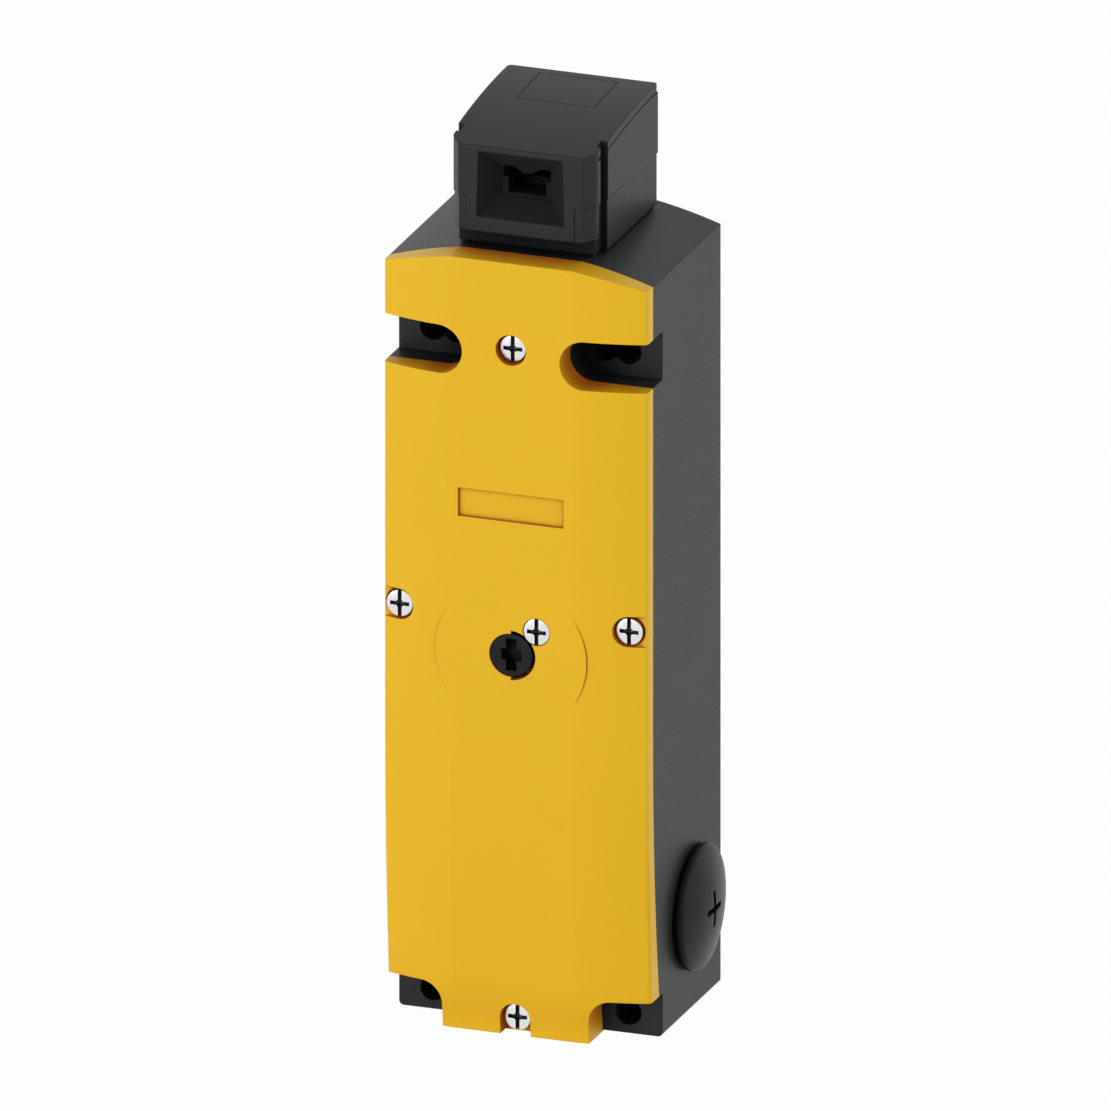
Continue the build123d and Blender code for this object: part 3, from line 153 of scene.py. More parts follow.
class SwitchSizes(bpy.types.PropertyGroup):
    """Sizes of the pieces that this scene makes."""

    head_radius: bpy.props.FloatProperty(
        name="Screw head radius", description="Outer radius of a screw head",
        default=2.7 * MM, min=1 * MM, max=4 * MM, unit="LENGTH",
    )
    head_height: bpy.props.FloatProperty(
        name="Screw head height", description="Height of a screw head above its seat",
        default=1.9 * MM, min=0.5 * MM, max=4 * MM, unit="LENGTH",
    )
    slot_width: bpy.props.FloatProperty(
        name="Slot width", description="Width of the screwdriver slot",
        default=0.8 * MM, min=0.3 * MM, max=1.5 * MM, unit="LENGTH",
    )
    cross_length: bpy.props.FloatProperty(
        name="Cross length", description="Length of the cross arms in a screw head",
        default=3.9 * MM, min=1 * MM, max=5 * MM, unit="LENGTH",
    )
    shank_radius: bpy.props.FloatProperty(
        name="Shank radius", description="Outer radius of a screw thread",
        default=1.45 * MM, min=0.5 * MM, max=2 * MM, unit="LENGTH",
    )
    thread_pitch: bpy.props.FloatProperty(
        name="Thread pitch", description="Distance from one thread to the next",
        default=0.5 * MM, min=0.3 * MM, max=1 * MM, unit="LENGTH",
    )
    plug_stem: bpy.props.FloatProperty(
        name="Plug stem radius", description="Outer radius of a plug's thread",
        default=9.1 * MM, min=5 * MM, max=12 * MM, unit="LENGTH",
    )
    plug_pitch: bpy.props.FloatProperty(
        name="Plug thread pitch", description="Distance from one plug thread to the next",
        default=1.5 * MM, min=0.5 * MM, max=2 * MM, unit="LENGTH",
    )
    plug_rim: bpy.props.FloatProperty(
        name="Plug rim", description="Thickness of a plug's flange at its edge",
        default=1.6 * MM, min=0.5 * MM, max=3 * MM, unit="LENGTH",
    )
    plug_edge: bpy.props.FloatProperty(
        name="Plug edge radius", description="Rounding of a plug's flange",
        default=0.9 * MM, min=0.1 * MM, max=1.5 * MM, unit="LENGTH",
    )
    plug_cross: bpy.props.FloatProperty(
        name="Plug cross length", description="Length of the cross arms in a plug",
        default=7.3 * MM, min=2 * MM, max=12 * MM, unit="LENGTH",
    )
    plug_cross_width: bpy.props.FloatProperty(
        name="Plug cross width", description="Width of the cross arms in a plug",
        default=1.2 * MM, min=0.4 * MM, max=3 * MM, unit="LENGTH",
    )
    spring_wire: bpy.props.FloatProperty(
        name="Spring wire", description="Diameter of the spring wire",
        default=1.2 * MM, min=0.4 * MM, max=2 * MM, unit="LENGTH",
    )
    coil_wire: bpy.props.FloatProperty(
        name="Coil wire", description="Diameter of the copper wire",
        default=0.5 * MM, min=0.2 * MM, max=1 * MM, unit="LENGTH",
    )


class SwitchStudio(bpy.types.PropertyGroup):
    """Light levels of the studio."""

    sky: bpy.props.FloatProperty(
        name="Sky", description="Even light from all around", default=0.61, min=0, max=2,
    )
    key: bpy.props.FloatProperty(
        name="Key", description="Light from the front left", default=1.0, min=0, max=5,
    )
    fill: bpy.props.FloatProperty(
        name="Fill", description="Light from the right side", default=1.0, min=0, max=5,
    )


# Shader groups


def socket(tree, name, way, kind, default=None):
    """Adds one named socket to a group."""
    made = tree.interface.new_socket(name=name, in_out=way, socket_type=kind)
    if default is not None:
        made.default_value = default
    return made


def math_step(tree, operation, *feeds, clamp=False):
    """One sum on sockets and plain numbers, and the socket of its result."""
    step = tree.nodes.new("ShaderNodeMath")
    step.operation = operation
    step.use_clamp = clamp
    for given, feed in zip(step.inputs, feeds):
        if isinstance(feed, (int, float)):
            given.default_value = feed
        else:
            tree.links.new(feed, given)
    return step.outputs["Value"]


def moulded_surface_group():
    """Grain, slow unevenness and softened edges of an injection moulding, and a mask of painted
    shade in its cavities.
    """
    name = "Moulded surface"
    if name in bpy.data.node_groups:
        return bpy.data.node_groups[name]
    tree = bpy.data.node_groups.new(name, "ShaderNodeTree")
    socket(tree, "Edge Radius", "INPUT", "NodeSocketFloat", 0.0003)
    socket(tree, "Grain Scale", "INPUT", "NodeSocketFloat", 4000.0)
    socket(tree, "Grain Depth", "INPUT", "NodeSocketFloat", 0.1)
    socket(tree, "Sink Depth", "INPUT", "NodeSocketFloat", 0.1)
    socket(tree, "Cavity Reach", "INPUT", "NodeSocketFloat", 0.01)
    socket(tree, "Cavity Start", "INPUT", "NodeSocketFloat", 0.75)
    socket(tree, "Cavity Full", "INPUT", "NodeSocketFloat", 0.2)
    socket(tree, "Cavity", "OUTPUT", "NodeSocketFloat")
    socket(tree, "Tone", "OUTPUT", "NodeSocketFloat")
    socket(tree, "Gloss", "OUTPUT", "NodeSocketFloat")
    socket(tree, "Normal", "OUTPUT", "NodeSocketVector")
    nodes, links = tree.nodes, tree.links
    given = nodes.new("NodeGroupInput")
    out = nodes.new("NodeGroupOutput")
    place = nodes.new("ShaderNodeTexCoord")
    edge = nodes.new("ShaderNodeBevel")
    edge.samples = 6
    links.new(given.outputs["Edge Radius"], edge.inputs["Radius"])
    grain = nodes.new("ShaderNodeTexNoise")
    grain.inputs["Detail"].default_value = 2.0
    links.new(place.outputs["Object"], grain.inputs["Vector"])
    links.new(given.outputs["Grain Scale"], grain.inputs["Scale"])
    sink = nodes.new("ShaderNodeTexNoise")
    sink.inputs["Scale"].default_value = 38.0
    sink.inputs["Detail"].default_value = 3.0
    links.new(place.outputs["Object"], sink.inputs["Vector"])
    slow = nodes.new("ShaderNodeBump")
    slow.inputs["Distance"].default_value = 0.0006
    links.new(given.outputs["Sink Depth"], slow.inputs["Strength"])
    links.new(sink.outputs["Fac"], slow.inputs["Height"])
    links.new(edge.outputs["Normal"], slow.inputs["Normal"])
    fine = nodes.new("ShaderNodeBump")
    fine.inputs["Distance"].default_value = 0.00005
    links.new(given.outputs["Grain Depth"], fine.inputs["Strength"])
    links.new(grain.outputs["Fac"], fine.inputs["Height"])
    links.new(slow.outputs["Normal"], fine.inputs["Normal"])
    links.new(fine.outputs["Normal"], out.inputs["Normal"])
    links.new(sink.outputs["Fac"], out.inputs["Tone"])
    gloss = nodes.new("ShaderNodeMapRange")
    gloss.inputs["From Min"].default_value = 0.35
    gloss.inputs["From Max"].default_value = 0.65
    gloss.inputs["To Min"].default_value = -0.03
    gloss.inputs["To Max"].default_value = 0.03
    links.new(grain.outputs["Fac"], gloss.inputs["Value"])
    links.new(gloss.outputs["Result"], out.inputs["Gloss"])
    # Near the floor only the piece's own shape counts for the painted shade, so that the floor
    # paints no shade on a foot
    shades = []
    for own_shape in (True, False):
        shade = nodes.new("ShaderNodeAmbientOcclusion")
        shade.samples = 8
        shade.only_local = own_shape
        links.new(given.outputs["Cavity Reach"], shade.inputs["Distance"])
        shades.append(shade)
    split = nodes.new("ShaderNodeSeparateXYZ")
    links.new(place.outputs["Object"], split.inputs["Vector"])
    height = math_step(tree, "DIVIDE", split.outputs["Z"], given.outputs["Cavity Reach"],
                       clamp=True)
    hidden = nodes.new("ShaderNodeMix")
    links.new(height, hidden.inputs["Factor"])
    links.new(shades[0].outputs["AO"], hidden.inputs[MIX_FLOAT_A])
    links.new(shades[1].outputs["AO"], hidden.inputs[MIX_FLOAT_B])
    # The mask of painted shade: none where little of the sky is hidden, whole where much is hidden
    cavity = nodes.new("ShaderNodeMapRange")
    cavity.interpolation_type = "SMOOTHSTEP"
    links.new(given.outputs["Cavity Full"], cavity.inputs["From Min"])
    links.new(given.outputs["Cavity Start"], cavity.inputs["From Max"])
    cavity.inputs["To Min"].default_value = 1.0
    cavity.inputs["To Max"].default_value = 0.0
    links.new(hidden.outputs[MIX_FLOAT_RESULT], cavity.inputs["Value"])
    links.new(cavity.outputs["Result"], out.inputs["Cavity"])
    return tree


def worked_metal_group():
    """Fine streaks and small marks of plated or drawn metal."""
    name = "Worked metal"
    if name in bpy.data.node_groups:
        return bpy.data.node_groups[name]
    tree = bpy.data.node_groups.new(name, "ShaderNodeTree")
    socket(tree, "Edge Radius", "INPUT", "NodeSocketFloat", 0.0001)
    socket(tree, "Streak Scale", "INPUT", "NodeSocketFloat", 1500.0)
    socket(tree, "Streak Depth", "INPUT", "NodeSocketFloat", 0.1)
    socket(tree, "Mark", "OUTPUT", "NodeSocketFloat")
    socket(tree, "Normal", "OUTPUT", "NodeSocketVector")
    nodes, links = tree.nodes, tree.links
    given = nodes.new("NodeGroupInput")
    out = nodes.new("NodeGroupOutput")
    place = nodes.new("ShaderNodeTexCoord")
    stretch = nodes.new("ShaderNodeMapping")
    stretch.inputs["Scale"].default_value = (1.0, 0.12, 1.0)
    links.new(place.outputs["Object"], stretch.inputs["Vector"])
    streak = nodes.new("ShaderNodeTexNoise")
    streak.inputs["Detail"].default_value = 3.0
    links.new(stretch.outputs["Vector"], streak.inputs["Vector"])
    links.new(given.outputs["Streak Scale"], streak.inputs["Scale"])
    edge = nodes.new("ShaderNodeBevel")
    edge.samples = 4
    links.new(given.outputs["Edge Radius"], edge.inputs["Radius"])
    fine = nodes.new("ShaderNodeBump")
    fine.inputs["Distance"].default_value = 0.00003
    links.new(given.outputs["Streak Depth"], fine.inputs["Strength"])
    links.new(streak.outputs["Fac"], fine.inputs["Height"])
    links.new(edge.outputs["Normal"], fine.inputs["Normal"])
    links.new(fine.outputs["Normal"], out.inputs["Normal"])
    links.new(streak.outputs["Fac"], out.inputs["Mark"])
    return tree


# Materials


def new_material(name):
    """An empty node material and its shader."""
    material = bpy.data.materials.new(name)
    material.use_nodes = True
    nodes = material.node_tree.nodes
    nodes.clear()
    out = nodes.new("ShaderNodeOutputMaterial")
    shader = nodes.new("ShaderNodeBsdfPrincipled")
    material.node_tree.links.new(shader.outputs["BSDF"], out.inputs["Surface"])
    return material, shader


def shader_of(material):
    """The shader of a finished material."""
    return next(node for node in material.node_tree.nodes if node.type == "BSDF_PRINCIPLED")


def shaded(colour, factor):
    """The same colour, lighter or darker."""
    return tuple(min(1.0, c * factor) for c in colour) + (1.0,)


def varied_tone(tree, mark, colour, spread):
    """The colour, a little darker and lighter along a slow mark."""
    ramp = tree.nodes.new("ShaderNodeValToRGB")
    first, last = ramp.color_ramp.elements
    first.position, last.position = 0.3, 0.7
    first.color, last.color = shaded(colour, 1 - spread), shaded(colour, 1 + spread)
    tree.links.new(mark, ramp.inputs["Fac"])
    return ramp.outputs["Color"]


def mixed_colour(tree, mask, plain, colour):
    """Mixes a set colour into one that varies, where a mask says so."""
    mixed = tree.nodes.new("ShaderNodeMix")
    mixed.data_type = "RGBA"
    tree.links.new(mask, mixed.inputs["Factor"])
    tree.links.new(plain, mixed.inputs[MIX_COLOUR_A])
    mixed.inputs[MIX_COLOUR_B].default_value = tuple(colour) + (1.0,)
    return mixed.outputs[MIX_COLOUR_RESULT]


def moulded_plastic(name, colour, shade_colour, roughness, gloss, edge, grain_scale, grain_depth,
                    sink_depth, spread, start=0.75, full=0.2):
    """Moulded plastic with eroded grain, a rounded edge and painted shade in its cavities, where
    it is also duller.
    """
    material, shader = new_material(name)
    shader.inputs["Specular IOR Level"].default_value = gloss
    tree = material.node_tree
    surface = tree.nodes.new("ShaderNodeGroup")
    surface.node_tree = moulded_surface_group()
    for label, value in (
        ("Edge Radius", edge), ("Grain Scale", grain_scale), ("Grain Depth", grain_depth),
        ("Sink Depth", sink_depth), ("Cavity Reach", SHADE_REACH), ("Cavity Start", start),
        ("Cavity Full", full),
    ):
        surface.inputs[label].default_value = value
    tone = varied_tone(tree, surface.outputs["Tone"], colour, spread)
    # Painted shade: the darker colour mixed into the tone where the cavity mask says so
    mixed = mixed_colour(tree, surface.outputs["Cavity"], tone, shade_colour)
    rough = math_step(tree, "ADD", surface.outputs["Gloss"], roughness)
    dull = math_step(tree, "MULTIPLY_ADD", surface.outputs["Cavity"], CAVITY_DULLING, rough,
                     clamp=True)
    tree.links.new(mixed, shader.inputs["Base Color"])
    tree.links.new(dull, shader.inputs["Roughness"])
    tree.links.new(surface.outputs["Normal"], shader.inputs["Normal"])
    return material


def paint_shade_in_box(material, low, high, colour):
    """Paints dark shade on the surfaces that lie inside a box of the node's own space, and makes
    them dull.
    """
    shader = shader_of(material)
    tree = material.node_tree
    place = tree.nodes.new("ShaderNodeTexCoord")
    feed = place.outputs["Object"]
    middle, half = (low + high) / 2, (high - low) / 2
    for operation, amount in (("SUBTRACT", middle), ("DIVIDE", half), ("ABSOLUTE", None)):
        step = tree.nodes.new("ShaderNodeVectorMath")
        step.operation = operation
        tree.links.new(feed, step.inputs[0])
        if amount is not None:
            step.inputs[1].default_value = amount
        feed = step.outputs["Vector"]
    split = tree.nodes.new("ShaderNodeSeparateXYZ")
    tree.links.new(feed, split.inputs["Vector"])
    widest = math_step(tree, "MAXIMUM", split.outputs["X"], split.outputs["Y"])
    widest = math_step(tree, "MAXIMUM", widest, split.outputs["Z"])
    inside = math_step(tree, "LESS_THAN", widest, 1.0)
    plain = shader.inputs["Base Color"].links[0].from_socket
    smooth = shader.inputs["Roughness"].links[0].from_socket
    dull = math_step(tree, "MAXIMUM", smooth, inside)
    tree.links.new(mixed_colour(tree, inside, plain, colour), shader.inputs["Base Color"])
    tree.links.new(dull, shader.inputs["Roughness"])


def paint_funnel_shade(material):
    """Paints shade in the funnel in the bezel of the head."""
    low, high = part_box("head_hood")
    front, foot = low.y + FUNNEL_START, low.z + FUNNEL_RISE
    paint_shade_in_box(
        material,
        Vector((-FUNNEL_HALF, front, foot)),
        Vector((FUNNEL_HALF, front + FUNNEL_DEPTH, foot + FUNNEL_HEIGHT)),
        FUNNEL_SHADE_COLOUR,
    )


def paint_recess_shade(material):
    """Paints shade on the faces that a screw's mesh marks as recess."""
    shader = shader_of(material)
    tree = material.node_tree
    mark = tree.nodes.new("ShaderNodeAttribute")
    mark.attribute_name = "recess"
    plain = shader.inputs["Base Color"].links[0].from_socket
    tree.links.new(mixed_colour(tree, mark.outputs["Fac"], plain, DRIVE_SHADE_COLOUR),
                   shader.inputs["Base Color"])


def worked_metal(name, colour, roughness, edge, streak_depth, spread, bare=1.0, gloss=0.5):
    """Plated, drawn or ground metal with fine streaks."""
    material, shader = new_material(name)
    tree = material.node_tree
    shader.inputs["Metallic"].default_value = bare
    shader.inputs["Specular IOR Level"].default_value = gloss
    surface = tree.nodes.new("ShaderNodeGroup")
    surface.node_tree = worked_metal_group()
    surface.inputs["Edge Radius"].default_value = edge
    surface.inputs["Streak Depth"].default_value = streak_depth
    tone = varied_tone(tree, surface.outputs["Mark"], colour, spread)
    rough = tree.nodes.new("ShaderNodeMapRange")
    rough.inputs["To Min"].default_value = max(0.02, roughness - 0.06)
    rough.inputs["To Max"].default_value = roughness + 0.06
    tree.links.new(surface.outputs["Mark"], rough.inputs["Value"])
    tree.links.new(tone, shader.inputs["Base Color"])
    tree.links.new(rough.outputs["Result"], shader.inputs["Roughness"])
    tree.links.new(surface.outputs["Normal"], shader.inputs["Normal"])
    return material


# A colour given by name is one of the settings in SwitchColours. The second colour of a moulding
# is the shade painted in its cavities, which starts where the ambient occlusion falls below start
# and is whole at full
MOULDINGS = {
    # The cover's painted shade is orange, so that its yellow turns orange where shade is painted
    "cover_plastic": dict(
        name="Cover moulding", colour="cover", shade_colour=(0.46, 0.125, 0.0005), roughness=0.40,
        gloss=0.27, edge=0.25 * MM, grain_scale=5200, grain_depth=0.05, sink_depth=0.04,
        spread=0.010, start=0.98, full=0.55,
    ),
    "housing_plastic": dict(
        name="Housing moulding", colour="housing", shade_colour=(0.001, 0.001, 0.001), roughness=0.42,
        gloss=0.17, edge=0.3 * MM, grain_scale=3600, grain_depth=0.16, sink_depth=0.04,
        spread=0.06, start=0.60, full=0.28,
    ),
    "head_plastic": dict(
        name="Head moulding", colour="housing", shade_colour=(0.001, 0.001, 0.001), roughness=0.42,
        gloss=0.16, edge=0.3 * MM, grain_scale=3600, grain_depth=0.12, sink_depth=0.04,
        spread=0.06, start=0.88,
    ),
    "plug_plastic": dict(
        name="Plug moulding", colour="plug", shade_colour=(0.001, 0.001, 0.001), roughness=0.36,
        gloss=0.12, edge=0.3 * MM, grain_scale=3000, grain_depth=0.05, sink_depth=0.04,
        spread=0.08, start=0.40,
    ),
    "release_plastic": dict(
        name="Release moulding", colour="release", shade_colour=(0.001, 0.001, 0.001), roughness=0.40,
        gloss=0.16, edge=0.2 * MM, grain_scale=4200, grain_depth=0.05, sink_depth=0.04,
        spread=0.08,
    ),
    "inner_plastic": dict(
        name="Inner moulding", colour=(0.25, 0.25, 0.24), shade_colour=(0.16, 0.16, 0.15),
        roughness=0.45, gloss=0.5, edge=0.3 * MM, grain_scale=4000, grain_depth=0.1,
        sink_depth=0.05, spread=0.04,
    ),
    "seal_rubber": dict(
        name="Seal rubber", colour=(0.012, 0.012, 0.012), shade_colour=(0.006, 0.006, 0.006),
        roughness=0.62, gloss=0.3, edge=0.1 * MM, grain_scale=2600, grain_depth=0.3,
        sink_depth=0.1, spread=0.15,
    ),
}
METALS = {
    "screw_steel": dict(
        name="Screw plating", colour="plating", roughness=0.24, edge=0.12 * MM,
        streak_depth=0.12, spread=0.03,
    ),
    "zinc_steel": dict(
        name="Zinc plating", colour=(0.56, 0.57, 0.58), roughness=0.32, edge=0.2 * MM,
        streak_depth=0.15, spread=0.06,
    ),
    # The cam wheel: blackened steel, made near black and almost without gloss so that it stands
    # for the shade in the head's slot, partly its own finish and partly painted shade
    "cam_steel": dict(
        name="Blackened steel", colour=(0.004, 0.004, 0.0045), roughness=0.6, edge=0.2 * MM,
        streak_depth=0.2, spread=0.15, bare=0.1, gloss=0.05,
    ),
    "spring_steel": dict(
        name="Spring wire", colour=(0.5, 0.5, 0.5), roughness=0.25, edge=0.1 * MM,
        streak_depth=0.15, spread=0.05,
    ),
    "copper": dict(
        name="Enamelled copper", colour=(0.72, 0.32, 0.15), roughness=0.3, edge=0.1 * MM,
        streak_depth=0.1, spread=0.08,
    ),
}
MADE_FINISHES = {}


def finish_recipe(slot, colours):
    """The finish of one material slot of the record."""
    if slot not in MOULDINGS and slot not in METALS:
        raise ValueError("no finish is given for the slot " + slot)
    make, table = (moulded_plastic, MOULDINGS) if slot in MOULDINGS else (worked_metal, METALS)
    settings = dict(table[slot])
    if isinstance(settings["colour"], str):
        settings["colour"] = getattr(colours, settings["colour"])
    material = make(**settings)
    # The head gets painted shade in its funnel
    if slot == "head_plastic":
        paint_funnel_shade(material)
    # The screws get painted shade in their drive marks
    if slot == "screw_steel":
        paint_recess_shade(material)
    return material


def material_for(slot):
    """Builds the finish of a slot once and hands it out after that."""
    if slot not in MADE_FINISHES:
        MADE_FINISHES[slot] = finish_recipe(slot, bpy.context.scene.switch_colours)
    return MADE_FINISHES[slot]


def dress(finish, *nodes):
    """Gives CAD nodes their finish."""
    for node in nodes:
        mesh = NODES[node].data
        mesh.materials.clear()
        mesh.materials.append(material_for(finish))


# Mesh helpers


def linked(name, mesh):
    """A new object at the origin that shows a mesh."""
    made = bpy.data.objects.new(name, mesh)
    bpy.context.scene.collection.objects.link(made)
    return made


def baked_copy(source, name):
    """A plain mesh object of what an object's modifiers make of it."""
    bpy.context.view_layer.update()
    deps = bpy.context.evaluated_depsgraph_get()
    mesh = bpy.data.meshes.new_from_object(source.evaluated_get(deps))
    mesh.name = name
    made = linked(name, mesh)
    made.matrix_world = Matrix.Identity(4)
    return made


def discard(*objects):
    """Removes helper objects and their meshes."""
    for helper in objects:
        mesh = helper.data
        bpy.data.objects.remove(helper)
        if mesh.users == 0:
            bpy.data.meshes.remove(mesh)


def lathe(profile, steps=48):
    """A closed solid of revolution about Z from points of radius and height."""
    build = bmesh.new()
    rings = []
    for radius, height in profile:
        if radius == 0:
            rings.append([build.verts.new((0, 0, height))])
            continue
        turns = [2 * math.pi * k / steps for k in range(steps)]
        rings.append([
            build.verts.new((radius * math.cos(turn), radius * math.sin(turn), height))
            for turn in turns
        ])
    for low, high in zip(rings, rings[1:]):
        for k in range(steps):
            after = (k + 1) % steps
            corners = []
            for vert in (low[k % len(low)], low[after % len(low)],
                         high[after % len(high)], high[k % len(high)]):
                if vert not in corners:
                    corners.append(vert)
            build.faces.new(corners)
    bmesh.ops.recalc_face_normals(build, faces=build.faces)
    mesh = bpy.data.meshes.new("lathe")
    build.to_mesh(mesh)
    build.free()
    return mesh


def prism(outline, low, high):
    """A closed prism from an outline of points in X and Y."""
    build = bmesh.new()
    under = [build.verts.new((x, y, low)) for x, y in outline]
    over = [build.verts.new((x, y, high)) for x, y in outline]
    build.faces.new(list(reversed(under)))
    build.faces.new(over)
    count = len(outline)
    for k in range(count):
        after = (k + 1) % count
        build.faces.new((under[k], under[after], over[after], over[k]))
    bmesh.ops.recalc_face_normals(build, faces=build.faces)
    mesh = bpy.data.meshes.new("prism")
    build.to_mesh(mesh)
    build.free()
    return mesh


def bar(half_x, half_y):
    """The outline of a bar that crosses the middle."""
    return [(-half_x, -half_y), (half_x, -half_y), (half_x, half_y), (-half_x, half_y)]


def smooth_faces(mesh):
    """Smooth faces with the edges sharper than SHARP_ANGLE kept sharp."""
    build = bmesh.new()
    build.from_mesh(mesh)
    for face in build.faces:
        face.smooth = True
    for edge in build.edges:
        if len(edge.link_faces) == 2:
            edge.smooth = edge.calc_face_angle(0) < SHARP_ANGLE
    build.to_mesh(mesh)
    build.free()


def cut_shape(blank, tools, name):
    """The plain mesh object that is left when tools are cut out of a blank."""
    for tool in tools:
        cut = blank.modifiers.new("cut", "BOOLEAN")
        cut.operation = "DIFFERENCE"
        cut.solver = "EXACT"
        cut.object = tool
    made = baked_copy(blank, name)
    discard(blank, *tools)
    smooth_faces(made.data)
    return made


# Screws


def screw_form(name, sizes, length):
    """One cheese-head screw along +Z, with a slot, a cross and a threaded shank."""
    head, high, shank = sizes.head_radius, sizes.head_height, sizes.shank_radius
    tip, root, taper, neck = shank * 0.72, shank * 0.86, shank * 0.35, 1.0 * MM
    foot, edge, crown = 0.1 * MM, 0.15 * MM, 0.08 * MM
    rim = high - crown
    base = taper - length
    profile = [(0, -length), (tip, -length), (shank, base)]
    for k in range(int((-base - neck) / sizes.thread_pitch)):
        profile.append((root, base + (k + 0.5) * sizes.thread_pitch))
        profile.append((shank, base + (k + 1) * sizes.thread_pitch))
    profile += [(shank, 0), (head - foot, 0), (head, foot), (head, rim - edge)]
    for k in range(1, 5):
        turn = math.radians(90 * k / 4)
        profile.append((head - edge + edge * math.cos(turn), rim - edge + edge * math.sin(turn)))
    profile += [(head * 0.5, rim + 0.75 * crown), (0, high)]
    slot, arm = sizes.slot_width / 2, sizes.cross_length / 2
    slot_floor, cross_floor, past = high - 0.95 * MM, high - 1.1 * MM, high + 1 * MM
    centre = 0.85 * MM
    tools = [
        linked("slot_tool", prism(bar(slot, head + 1 * MM), slot_floor, past)),
        linked("cross_tool", prism(bar(arm, slot), cross_floor, past)),
        linked("centre_tool", lathe(
            [(0, high - 1.5 * MM), (0.5 * MM, high - 1.3 * MM), (centre, high + 0.1 * MM),
             (centre, past), (0, past)], 16)),
    ]
    made = cut_shape(linked("screw_blank", lathe(profile)), tools, name)
    mark_recess(made.data, head, high)
    return made


def mark_recess(mesh, radius, top):
    """Marks the faces of the drive marks, inside the rim and below the top of a screw head, where
    shade is painted.
    """
    mark = mesh.attributes.new("recess", "FLOAT", "FACE")
    for face, value in zip(mesh.polygons, mark.data):
        middle = face.center
        inside = math.hypot(middle.x, middle.y) < radius - 0.2 * MM
        upright = abs(face.normal.z) < 0.6
        in_head = middle.z > 0.2 * MM
        marked = inside and in_head and (upright or middle.z < top - 0.1 * MM)
        value.value = 1.0 if marked else 0.0


def screw_seat(node, sizes):
    """Where the head of a screw sits, with its turn, and how far the shank reaches behind."""
    low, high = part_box(node)
    face = low.y + sizes.head_height
    place = ((low.x + high.x) / 2, face, (low.z + high.z) / 2)
    return (place, (math.radians(90), 0, 0)), high.y - face


def placing_tree(name, piece, finish):
    """A tree that sets a copy of a piece on each point, turned by the point's own angles."""
    tree = bpy.data.node_groups.new(name, "GeometryNodeTree")
    socket(tree, "Geometry", "INPUT", "NodeSocketGeometry")
    socket(tree, "Size", "INPUT", "NodeSocketFloat", 1.0)
    socket(tree, "Geometry", "OUTPUT", "NodeSocketGeometry")
    nodes, links = tree.nodes, tree.links
    given = nodes.new("NodeGroupInput")
    out = nodes.new("NodeGroupOutput")
    shape = nodes.new("GeometryNodeObjectInfo")
    shape.inputs["Object"].default_value = piece
    turn = nodes.new("GeometryNodeInputNamedAttribute")
    turn.data_type = "FLOAT_VECTOR"
    turn.inputs["Name"].default_value = "turn"
    spread = nodes.new("GeometryNodeInstanceOnPoints")
    links.new(given.outputs["Geometry"], spread.inputs["Points"])
    links.new(shape.outputs["Geometry"], spread.inputs["Instance"])
    links.new(turn.outputs["Attribute"], spread.inputs["Rotation"])
    links.new(given.outputs["Size"], spread.inputs["Scale"])
    real = nodes.new("GeometryNodeRealizeInstances")
    links.new(spread.outputs["Instances"], real.inputs["Geometry"])
    coat = nodes.new("GeometryNodeSetMaterial")
    coat.inputs["Material"].default_value = material_for(finish)
    links.new(real.outputs["Geometry"], coat.inputs["Geometry"])
    links.new(coat.outputs["Geometry"], out.inputs["Geometry"])
    return tree


def placed_copies(name, piece, seats, finish):
    """Plain mesh of one copy of a piece on each seat, a point and the angles of its turn."""
    mesh = bpy.data.meshes.new(name + "_points")
    mesh.from_pydata([tuple(point) for point, angles in seats], [], [])
    turn = mesh.attributes.new("turn", "FLOAT_VECTOR", "POINT")
    for value, (point, angles) in zip(turn.data, seats):
        value.vector = angles
    carrier = linked(name + "_points", mesh)
    spread = carrier.modifiers.new("placing", "NODES")
    spread.node_group = placing_tree(name + " placing", piece, finish)
    made = baked_copy(carrier, name)
    made.data.materials.clear()
    made.data.materials.append(material_for(finish))
    discard(carrier)
    return made


